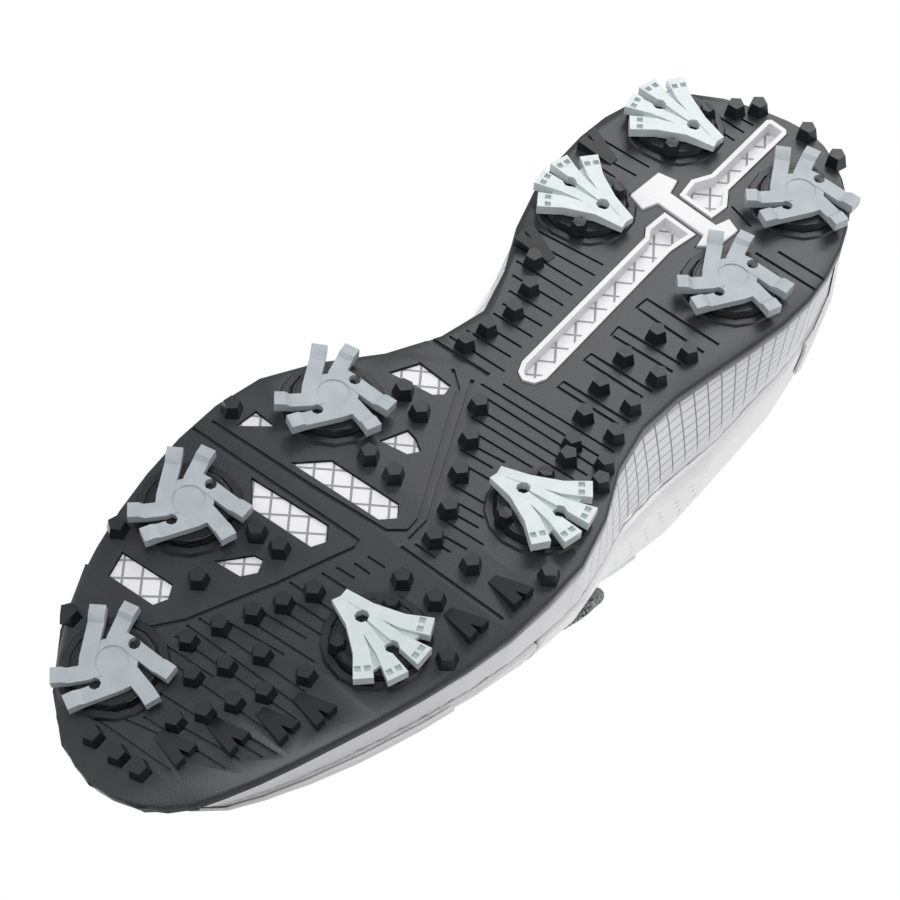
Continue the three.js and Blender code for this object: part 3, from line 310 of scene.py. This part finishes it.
def knitted_lining_painted_shade():
    """Spacer knit of the lining: crossed stitches, matt, with a light bloom of fibre, and painted shade
    greying the sunk crossings.
    """
    made, tree, shader, place = start("knitted_lining_painted_shade", 0.95, sheen=0.3)
    one, two = (lines(tree, place, run, STITCH_PITCH, STITCH_WIDTH) for run in STITCH_RUNS)
    stitch_and_painted_shade = add(tree, "ShaderNodeMath", {0: one, 1: two}, operation="MULTIPLY")
    # The darker grey of the sunk crossings is painted shade: the yarn is one colour throughout.
    surfaced(tree, shader, stitch_and_painted_shade, "#d6d7da", "#a9abaf", stitch_and_painted_shade, -0.3)
    return made


# The real yarns are finer: flecks that fine would not show, so they are drawn coarser.
YARNS = ((0, "#2a2b2d"), (0.42, "#8d8f92"), (0.53, "#56575a"), (0.58, "#c9cacc"))


def heather_braid():
    """Polyester braid of black, grey and white yarns mixed, in flecks as long as one crossing."""
    made, tree, shader, place = start("heather_braid", 0.9, sheen=0.25)
    fleck = add(tree, "ShaderNodeTexNoise", of_size(place, 0.9, 1), "Fac")
    colour = add(tree, "ShaderNodeValToRGB", {"Fac": fleck}, "Color")
    ramp = colour.node.color_ramp
    ramp.interpolation = "CONSTANT"
    while len(ramp.elements) < len(YARNS):
        ramp.elements.new(0.5)
    for element, (position, code) in zip(ramp.elements, YARNS):
        element.position = position
        element.color = linear(code)
    tree.links.new(colour, shader.inputs["Base Color"])
    yarn = add(tree, "ShaderNodeTexNoise", of_size(place, 0.35), "Fac")
    bump = add(tree, "ShaderNodeBump", {"Height": yarn, "Distance": 0.08 * MM})
    tree.links.new(bump, shader.inputs["Normal"])
    return made


NYLON, HATCHED_PAINTED_SHADE, FOAM_PAINTED_SHADE = moulded_nylon(), hatched_white_tpu_painted_shade(), moulded_foam_painted_shade()
SLIT_PAINTED_SHADE, KNIT_PAINTED_SHADE, BRAID = slit_microfibre_painted_shade(), knitted_lining_painted_shade(), heather_braid()

# ---- Taking the frame's nodes over ----


def body_of(node):
    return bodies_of(frame["nodes"][node])[0]


def shown(name, data, material, node, origin=None):
    """A new object that stands for a node and rides on its body."""
    made = bpy.data.objects.new(name, data)
    if origin:
        data.transform(Matrix.Translation(-origin))
        made.location = origin
    bpy.context.scene.collection.objects.link(made)
    data.materials.clear()
    data.materials.append(material)
    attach(made, body_of(node))
    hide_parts(node)
    return made


WELD, FLAT_ANGLE = 0.002, 1.0


def own_mesh(node, flat=True):
    """A copy of a node's mesh with its corners joined and, if flat, its flat faces whole."""
    cad = frame["nodes"][node]
    mesh = cad.data.copy()
    mesh.transform(cad.matrix_world)
    if "custom_normal" in mesh.attributes:
        mesh.attributes.remove(mesh.attributes["custom_normal"])
    work = bmesh.new()
    work.from_mesh(mesh)
    bmesh.ops.remove_doubles(work, verts=work.verts, dist=WELD * MM)
    if flat:
        angle = math.radians(FLAT_ANGLE)
        bmesh.ops.dissolve_limit(work, angle_limit=angle, verts=work.verts, edges=work.edges)
    bmesh.ops.recalc_face_normals(work, faces=work.faces)
    work.to_mesh(mesh)
    work.free()
    return mesh


def settle(obj):
    """Applies an object's modifiers."""
    graph = bpy.context.evaluated_depsgraph_get()
    mesh = bpy.data.meshes.new_from_object(obj.evaluated_get(graph))
    obj.modifiers.clear()
    obj.data = mesh


def carve(obj, cutter_mesh):
    """Cuts a mesh away from an object."""
    cutter = bpy.data.objects.new("cutter", cutter_mesh)
    bpy.context.scene.collection.objects.link(cutter)
    cut = obj.modifiers.new("carve", "BOOLEAN")
    cut.operation = "DIFFERENCE"
    cut.object = cutter
    cut.solver = "EXACT"
    settle(obj)
    bpy.data.objects.remove(cutter)


def round_edges(obj, width_mm, degrees=35):
    """Rounds the edges that turn by more than an angle. The rest is shaded smooth."""
    angle = math.radians(degrees)
    obj.data.shade_smooth()
    obj.data.set_sharp_from_angle(angle=angle)
    edge = obj.modifiers.new("rounded_edges", "BEVEL")
    edge.width = width_mm * MM
    edge.segments = 2
    edge.limit_method = "ANGLE"
    edge.angle_limit = angle
    edge.harden_normals = True


def moulded(node, material, width_mm, degrees=35, origin=None):
    """A hard piece with rounded edges."""
    made = shown(node + "_moulded", own_mesh(node), material, node, origin)
    round_edges(made, width_mm, degrees)
    return made


def softened(node, material, voxel_mm=0.8, passes=6):
    """Sheet material: the corners and facets flow into each other."""
    made = shown(node + "_sewn", own_mesh(node, False), material, node)
    fine = made.modifiers.new("fine", "REMESH")
    fine.mode = "VOXEL"
    fine.voxel_size = voxel_mm * MM
    fine.use_smooth_shade = True
    ease = made.modifiers.new("eased", "SMOOTH")
    ease.factor = 0.5
    ease.iterations = passes
    return made


# ---- Grooves of the tread ----


def ribbon(path, half_wide, low, high, place=sprung, step_mm=5):
    """A closed bar along a path, from one height to another. Returns its corners and faces."""
    line = [path[0]]
    for a, b in zip(path, path[1:]):
        count = max(1, round(math.dist(a, b) / step_mm))
        shares = [i / count for i in range(1, count + 1)]
        line += [(a[0] + (b[0] - a[0]) * t, a[1] + (b[1] - a[1]) * t) for t in shares]
    corners = []
    for i, (x, y) in enumerate(line):
        before, after = line[max(i - 1, 0)], line[min(i + 1, len(line) - 1)]
        long = math.dist(before, after)
        nx = -(after[1] - before[1]) / long * half_wide
        ny = (after[0] - before[0]) / long * half_wide
        for sx, up in ((1, low), (-1, low), (-1, high), (1, high)):
            corners.append(place(x + nx * sx, y + ny * sx, up))
    faces = [(0, 1, 2, 3), tuple(len(corners) - 4 + k for k in (3, 2, 1, 0))]
    for i in range(len(line) - 1):
        base = 4 * i
        faces += [(base + k, base + 4 + k, base + 4 + (k + 1) % 4, base + (k + 1) % 4) for k in range(4)]
    return corners, faces


def puck(radius, low, high, place, count=32):
    """A short round bar."""
    turns = [2 * math.pi * i / count for i in range(count)]
    corners = [place(radius * math.cos(a), radius * math.sin(a), up) for up in (low, high) for a in turns]
    faces = [tuple(range(count)), tuple(range(count, 2 * count))]
    faces += [(i, (i + 1) % count, count + (i + 1) % count, count + i) for i in range(count)]
    return corners, faces


def mesh_of(name, bars):
    """One mesh of several bars, with every face turned out."""
    corners, faces = [], []
    for more, sides in bars:
        faces += [tuple(i + len(corners) for i in side) for side in sides]
        corners += more
    mesh = bpy.data.meshes.new(name)
    mesh.from_pydata(corners, [], faces)
    work = bmesh.new()
    work.from_mesh(mesh)
    bmesh.ops.recalc_face_normals(work, faces=work.faces)
    work.to_mesh(mesh)
    work.free()
    return mesh


def grooves(name, paths, wide_mm):
    """One cutter for a set of grooves in the sole."""
    low, high = SOLE_UP - GROOVE_OVER, SOLE_UP + GROOVE_DEEP
    return mesh_of(name, [ribbon(path, wide_mm / 2, low, high) for path in paths])


# Each groove is a path of [along, across] points.
THIN_GROOVES = [
    [(-67.2, 12.4), (-63.5, 33.6)], [(-62.5, 11.6), (-59.3, 33.6)], [(-57.2, 11.6), (-55.1, 33.6)],
    [(-52.5, 11.2), (-50.7, 30.5)], [(-47.8, 10.5), (-46, 27.8)], [(-42.7, 10.2), (-41, 24.7)],
    [(-38, 9.7), (-36.2, 22.8)], [(-33.1, 9), (-31.7, 22.3)], [(-28.1, 8.7), (-26.8, 22.1)],
    [(-23.4, 8.4), (-21.8, 23.4)], [(-18.4, 6.3), (-16.8, 25.2)], [(-14.7, 3.7), (-18.6, -33.1)],
    [(-10.5, 7.9), (-14.7, -32.6)], [(-7.7, 3.7), (-11, -32.6)], [(-3.7, 0), (-7.4, -33.1)],
    [(0, 2.1), (-3.7, -31.5)], [(3.4, -3.2), (1.1, -22.1)], [(6.8, -6.3), (5.2, -14.7)],
    [(10.5, -3.2), (8.9, -13.7)],
    [(13.7, -7.4), (12.3, -16.8)], [(21, -9.5), (19.4, -19.9)], [(24.4, -15.2), (23.1, -23.1)],
    [(27.8, -16.8), (26.6, -24.2)], [(31.5, -14.7), (29.9, -28.9)], [(35.2, -19.9), (34.1, -26.8)],
    [(38.5, -19.9), (37.9, -24.2)], [(42.5, -15.8), (42.1, -22.6)], [(54.1, -9.5), (53.6, -15.2)],
    [(58.1, -8.4), (57.8, -13.7)], [(62.3, -5.8), (61.6, -11.6)], [(66.2, -4.2), (65.4, -12.1)],
    [(74, 0), (72.5, -18.9)], [(77.7, -4.2), (76.1, -18.9)], [(81.4, -5.2), (79.8, -21)],
    [(85.6, 0), (83.5, -14.7)],
    [(89.8, 2.1), (87.2, -21)], [(93.5, 3.2), (90.8, -13.7)], [(97.7, 10.5), (95.3, -25.2)],
    [(101.3, 11.6), (99.2, -27.3)], [(105.5, 11.6), (102.4, -28.9)], [(109.2, 11.6), (107.6, -4.2)],
    [(111.8, 6.3), (109.7, -25.2)], [(116, -9.5), (112.9, -31.5)], [(120.2, 4.2), (116, -29.4)],
    [(123.9, -4.2), (120.2, -25.2)], [(127.6, 2.1), (124.4, -24.2)], [(131.2, 5.2), (128.6, -4.2)],
    [(136, 11.6), (133.9, -13.7)], [(-143.1, 30.5), (-143.3, 26.2)], [(-139.1, 21), (-139.7, 16.8)],
    [(-134.9, 27.3), (-135.5, 16.8)], [(-130.7, 24.2), (-131, 16.8)], [(-103.4, 43.1), (-105, 27.3)],
    [(-98.7, 35.7), (-99.8, 27.8)], [(-94.5, 39.9), (-94.8, 31.5)], [(-110.6, 1.1), (-108.7, -7.4)],
]
BAR_GROOVES = [
    [(-68.2, -28.9), (-66.5, -4.2), (-62, -4.2), (-63, -27.8)],
    [(-55.1, -26.2), (-53, -5.2), (-49.4, -5.8), (-51.5, -26.2)],
    [(-42, -26.8), (-40.2, -6.3), (-37.1, -6.3), (-38.6, -26.2)],
    [(-29.4, -29.4), (-27.3, -7.4), (-24.7, -7.4), (-26.8, -29.4)],
    [(-106.9, -18.9), (-108.2, -34.6)], [(-101.9, -14.7), (-103.4, -35.2)],
]
FLEX_GROOVES = [
    [(-8.9, 16.8), (-4.7, 11), (35.2, -11), (40.4, -11.6), (44.6, -7.4), (47.8, 16.8), (50.9, 50.4)],
    [(-10, 10.5), (34.1, -13.1), (42.5, -13.7)], [(45.7, -13.7), (44.1, -48.3)],
    [(56.2, 52.5), (52, -4.2), (54.1, -5.2), (76.1, 2.1), (100.3, 12.6), (108.7, 18.9)],
]
BAND_GROOVES = [[(-12.1, 29.9), (-14.2, 8.4)]]

# ---- Laces: the bow's loops and ends ----
# Each is (length, points from the knot outwards), in millimetres of the frame.
LACE_ROUTES = {
    "lace_loop_lateral": (141.1, [
        (-31, -3.4, 116.7), (-35.2, -6.1, 117), (-37.7, -10, 115.3), (-38.4, -13.9, 112.3),
        (-38, -17.2, 108.5), (-36.8, -19.9, 104.4), (-35.2, -22.5, 100.4), (-33.2, -24.9, 96.4),
        (-30.8, -27, 92.6), (-28, -28.9, 88.8), (-25, -30.6, 85.1), (-21.6, -31.9, 81.6),
        (-17.6, -33, 78.8), (-13.1, -33.8, 76.8), (-8.2, -33.8, 75.5), (-3.2, -33.1, 75),
        (1.2, -31.1, 75.8), (4.1, -27.7, 78), (4.6, -24.1, 81.4), (3.1, -21.1, 85.2),
        (0.9, -18.6, 89), (-1.9, -16.6, 92.6), (-5.1, -14.9, 96.1), (-8.6, -13.5, 99.4),
        (-12.3, -12.2, 102.6), (-16.1, -10.8, 105.7), (-19.9, -9.4, 108.6), (-23.4, -7.3, 111.5),
        (-26.4, -4.3, 114.3),
    ]),
    "lace_end_lateral": (69.3, [
        (-22.8, -2.5, 113.2), (-19, -3.5, 111.3), (-15.5, -4.1, 108.9), (-12, -4.5, 106.3),
        (-8.6, -5, 103.7), (-5.3, -5.8, 101), (-2.1, -6.7, 98.2), (1.2, -7.7, 95.6),
        (4.4, -8.9, 93), (7.7, -10.2, 90.5), (10.9, -11.7, 87.9), (14, -13.3, 85.3),
        (17, -14.9, 82.8), (20, -16.7, 80.2), (23, -18.5, 77.6), (26.1, -20.2, 75.1),
        (29.2, -21.8, 72.6),
    ]),
    "lace_loop_medial": (158.7, [
        (-31, 2.7, 116.4), (-35.7, 5.8, 116.7), (-37.9, 10.2, 114.1), (-38.4, 14.2, 110.1),
        (-37.8, 17.2, 105.4), (-36.6, 19.8, 100.5), (-35.1, 22.1, 95.5), (-33.4, 24.2, 90.5),
        (-31.5, 26.1, 85.5), (-29.3, 27.8, 80.6), (-26.7, 29.4, 75.8), (-23.8, 30.8, 71.2),
        (-20.2, 32, 66.9), (-15.6, 32.9, 63.8), (-10.3, 33.3, 62.1), (-4.8, 32.8, 63.1),
        (-0.1, 31.4, 65.8), (3.1, 28.7, 69.6), (4.7, 25.5, 74), (4.2, 22.4, 78.7),
        (2.4, 19.6, 83.3), (-0.3, 17.2, 87.7), (-3.6, 15.2, 91.8), (-7.3, 13.6, 95.7),
        (-11.3, 12.1, 99.5), (-15.4, 10.6, 103.1), (-19.6, 9.2, 106.6), (-23.4, 7, 110.2),
        (-26.4, 3.8, 113.7),
    ]),
    "lace_end_medial": (68.7, [
        (-22.8, 2, 112.8), (-19.2, 3.1, 110.8), (-15.6, 3.6, 108.4), (-12.2, 3.8, 105.9),
        (-8.8, 4.3, 103.3), (-5.6, 5.1, 100.5), (-2.4, 6.1, 97.8), (0.8, 7.1, 95.2),
        (4, 8.3, 92.6), (7.3, 9.7, 90.1), (10.4, 11.1, 87.6), (13.6, 12.7, 85.1),
        (16.6, 14.4, 82.7), (19.8, 16.2, 80.2), (22.9, 17.9, 77.9), (26, 19.7, 75.6),
        (29.2, 21.4, 73.3),
    ]),
}


def lace_curve(name, points):
    """A round cord along a route."""
    data = bpy.data.curves.new(name, "CURVE")
    data.dimensions = "3D"
    data.bevel_depth = LACE_DIAMETER / 2 * MM
    data.bevel_resolution = 3
    data.use_fill_caps = True
    line = data.splines.new("POLY")
    line.points.add(len(points) - 1)
    for spot, point in zip(line.points, points):
        spot.co = (*[c * MM for c in point], 1)
    return data


for name, (length, points) in LACE_ROUTES.items():
    lace = shown(name + "_braided", lace_curve(name, points), BRAID, name)

# ---- The outsole and its plates ----
GROOVE_SETS = (             # name, paths and width in millimetres
    ("thin", THIN_GROOVES, 0.8), ("bars", BAR_GROOVES, 1.0),
    ("flex", FLEX_GROOVES, 1.1), ("band", BAND_GROOVES, 1.8),
)
FACE_ROOM = 0.3             # a face this far off the sole's own face belongs to a stud, or is sunk
FACES_DOWN = -0.8           # a face whose normal has its z under this looks at the ground
SOLE_EDGE, SOLE_ANGLE = 0.2, 32
PLATE_EDGE, BRIDGE_EDGE, BOARD_EDGE = 0.15, 0.4, 0.2
FOAM_VOXEL, FOAM_PASSES = 1.0, 4


def height_over_ground(point):
    """How far a place of the frame is over the ground's line, along the sprung sole, in millimetres."""
    along, _, up = (point - ORIGIN) / MM
    if along > SPRING_START:
        return SPRING_RADIUS - math.hypot(along - SPRING_START, SPRING_RADIUS - up)
    return up


outsole = shown("outsole_moulded", own_mesh("outsole"), TPU, "outsole")
for name, paths, wide in GROOVE_SETS:
    carve(outsole, grooves(name, paths, wide))
outsole.data.materials.append(STUD)
for face in outsole.data.polygons:
    if height_over_ground(face.center) < SOLE_UP - FACE_ROOM:
        face.material_index = 1
round_edges(outsole, SOLE_EDGE, SOLE_ANGLE)

# The plate is hatched, with painted shade greying the lines, on the sunk faces only. Its lip and walls are
# smooth.
chassis = moulded("chassis", HATCHED_PAINTED_SHADE, PLATE_EDGE)
chassis.data.materials.append(SMOOTH_WHITE)
for face in chassis.data.polygons:
    if face.normal.z > FACES_DOWN or height_over_ground(face.center) < SOLE_UP + FACE_ROOM:
        face.material_index = 1
moulded("channel_bridge", SMOOTH_WHITE, BRIDGE_EDGE)
softened("midsole", FOAM_PAINTED_SHADE, FOAM_VOXEL, FOAM_PASSES)

# ---- Cleats ----
FAN_TURNS = {"1": 85, "2": 88, "3": -95, "4": -83}
FAN_RECESSES = ((6.4, 9.9, 36), (12.0, 4.1, 13))       # x, y and lean in degrees, in the fan's own frame
RECESS_HALF, RECESS_APART, RECESS_DEEP = 0.85, 1.3, 1.1
HUB_RECESS_RADIUS, HUB_RECESS_DEEP = 4.5, 0.2
TIP_OVER, HUB_OVER = 0.5, 0.6          # how far outside the cleat's face each cutter starts
HUB_FACE = 1.05             # the hub's lower face, above the cleat's tips
SWIRL_EDGE, FAN_EDGE, BASE_EDGE, SEAT_EDGE, CLEAT_ANGLE = 0.3, 0.25, 0.3, 0.2, 30


def cleat_frame(kind, number, turn=0):
    """A cleat's own frame: x forwards, z away from the ground, turned about z."""
    joint = next(j for j in frame["joints"] if j["name"] == f"{kind}_cleat_twist_{number}")
    down = Vector(joint["axis"])
    fore = Vector((-down.z, 0, down.x))
    away = Matrix((fore, (0, 1, 0), -down)).transposed().to_4x4()
    return Matrix.Translation(joint["pos_m"]) @ away @ Matrix.Rotation(math.radians(turn), 4, "Z")


def on_cleat(matrix):
    """Turns millimetres in a cleat's frame into a place of the whole frame."""
    return lambda x, y, up: matrix @ (Vector((x, y, up)) * MM)


def cleat(kind, number, turn, material, cutters, width_mm):
    """A cleat with its recesses, and the base and seat that belong to it."""
    base = cleat_frame(kind, number, turn)
    name = f"{kind}_cleat_{number}"
    made = shown(name + "_moulded", own_mesh(name), material, name)
    carve(made, mesh_of("recess", cutters(on_cleat(base))))
    round_edges(made, width_mm, CLEAT_ANGLE)
    moulded(f"{kind}_cleat_stud_{number}", NYLON, BASE_EDGE, origin=base.translation)
    moulded(f"{kind}_receptacle_{number}", NYLON, SEAT_EDGE)


def hub_recess(place):
    """A shallow round recess in the hub's face."""
    return [puck(HUB_RECESS_RADIUS, HUB_FACE - HUB_OVER, HUB_FACE + HUB_RECESS_DEEP, place)]


def tip_recesses(place):
    """Two small squares side by side near each blade's tip."""
    squares = []
    for x, y, lean in FAN_RECESSES:
        angle = math.radians(lean)
        for side in (-1, 1):
            for shift in (-1, 1):
                cx = x - math.sin(angle) * RECESS_APART * shift
                cy = (y + math.cos(angle) * RECESS_APART * shift) * side
                dx, dy = math.cos(angle) * RECESS_HALF, math.sin(angle) * RECESS_HALF * side
                path = [(cx - dx, cy - dy), (cx + dx, cy + dy)]
                squares.append(ribbon(path, RECESS_HALF, -TIP_OVER, RECESS_DEEP, place))
    return squares


for number in "12345":
    cleat("swirl", number, 0, SWIRL_GREY, hub_recess, SWIRL_EDGE)
for number, turn in FAN_TURNS.items():
    cleat("fan", number, turn, FAN_PALE, tip_recesses, FAN_EDGE)

# ---- Upper ----
OVERLAY_EDGE, OVERLAY_ANGLE = 0.2, 40
SOCKLINER_VOXEL = 1.0

softened("vamp", MICROFIBRE)
softened("quarter_lateral", SLIT_PAINTED_SHADE)
softened("quarter_medial", SLIT_PAINTED_SHADE)
for node in ("toe_mudguard", "heel_overlay", "eyestay_lateral", "eyestay_medial"):
    moulded(node, MICROFIBRE, OVERLAY_EDGE, OVERLAY_ANGLE)
for node in ("strobel_board", "heel_counter", "toe_puff"):
    moulded(node, BOARD, BOARD_EDGE)
softened("sockliner", KNIT_PAINTED_SHADE, SOCKLINER_VOXEL)

# ---- Padding ----
PRESSURE, FRAMES = 4, 20
PAD_VOXEL, PAD_SHRINK = 1.6, 0.3      # in millimetres


def stuffed(node, cap_mm):
    """A padded piece, blown up from a slightly smaller shape, by no more than a cap."""
    made = shown(node + "_padded", own_mesh(node, False), KNIT_PAINTED_SHADE, node)
    fine = made.modifiers.new("fine", "REMESH")
    fine.mode = "VOXEL"
    fine.voxel_size = PAD_VOXEL * MM
    settle(made)
    cad = [v.co.copy() for v in made.data.vertices]
    for vertex in made.data.vertices:
        vertex.co -= vertex.normal * PAD_SHRINK * MM
    cloth = made.modifiers.new("stuffing", "CLOTH")
    cloth.settings.use_pressure = True
    cloth.settings.uniform_pressure_force = PRESSURE
    cloth.settings.effector_weights.gravity = 0
    for number in range(1, FRAMES + 1):
        bpy.context.scene.frame_set(number)
    settle(made)
    bpy.context.scene.frame_set(1)
    for vertex, home in zip(made.data.vertices, cad):
        moved = vertex.co - home
        if moved.length > cap_mm * MM:
            vertex.co = home + moved.normalized() * cap_mm * MM
    made.data.shade_smooth()
    round_off = made.modifiers.new("rounded", "SUBSURF")
    round_off.levels = round_off.render_levels = 1


stuffed("collar_padding", cap_mm=1.0)
stuffed("tongue", cap_mm=0.8)

# ---- Laces through the eyelets, and the knot ----
LACE_ROWS = 6

for number in range(1, LACE_ROWS + 1):
    softened(f"lace_row_{number}", BRAID, voxel_mm=0.35, passes=2)
softened("lace_knot", BRAID, voxel_mm=0.5, passes=4)

# ---- Floor and light ----
# The camera looks up from under the ground, so the floor shows from above only.
FLOOR_HALF = 3
ROOM_LIGHT = 0.42


def one_way_sheet():
    """Matt pale studio sheet, faintly uneven."""
    made, tree, shader, place = start("studio_sheet", 0.9)
    cloud = add(tree, "ShaderNodeTexNoise", of_size(place, 40), "Fac")
    tint = {0: cloud, 6: linear("#eeeeee"), 7: linear("#f4f4f4")}
    tree.links.new(add(tree, "ShaderNodeMix", tint, 2, data_type="RGBA"), shader.inputs["Base Color"])
    clear = add(tree, "ShaderNodeBsdfTransparent")
    behind = add(tree, "ShaderNodeNewGeometry", out="Backfacing")
    both = add(tree, "ShaderNodeMixShader", {0: behind, 1: shader.outputs[0], 2: clear})
    tree.links.new(both, tree.nodes["Material Output"].inputs["Surface"])
    return made


ground = bpy.data.meshes.new("floor")
corners = [Vector((x, y, 0)) * FLOOR_HALF for x, y in ((-1, -1), (1, -1), (1, 1), (-1, 1))]
ground.from_pydata(corners, [], [(0, 1, 2, 3)])
ground.materials.append(one_way_sheet())
floor = bpy.data.objects.new("floor", ground)
bpy.context.scene.collection.objects.link(floor)
floor.visible_shadow = floor.visible_diffuse = floor.visible_glossy = False

# Each softbox: azimuth, elevation, distance and size in metres, power in watts.
LIGHTS = (
    (252, -42, 1.2, 0.7, 5.5), (75, -75, 1.2, 0.45, 4.0), (-10, -20, 1.5, 0.6, 2.4),
    (150, -25, 1.2, 0.4, 2.6), (-60, 50, 1.4, 0.9, 5.0), (170, 55, 1.5, 0.9, 3.5),
)
for azimuth, elevation, away, size, power in LIGHTS:
    data = bpy.data.lights.new("softbox", "AREA")
    data.size, data.energy = size, power
    light = bpy.data.objects.new("softbox", data)
    bpy.context.scene.collection.objects.link(light)
    aim = direction(azimuth, elevation)
    light.location = aim * away
    light.visible_camera = False
    light.rotation_euler = aim.to_track_quat("Z", "Y").to_euler()

world = bpy.data.worlds.new("studio")
world.use_nodes = True
sky = world.node_tree
white = linear("#ffffff")
room = sky.nodes["Background"]
room.inputs["Color"].default_value = white
room.inputs["Strength"].default_value = ROOM_LIGHT
backing = add(sky, "ShaderNodeBackground", {"Color": white, "Strength": 1.0})
straight = add(sky, "ShaderNodeLightPath", out="Is Camera Ray")
both = add(sky, "ShaderNodeMixShader", {0: straight, 1: room.outputs[0], 2: backing})
sky.links.new(both, sky.nodes["World Output"].inputs["Surface"])
bpy.context.scene.world = world
bpy.context.scene.view_settings.view_transform = "Standard"
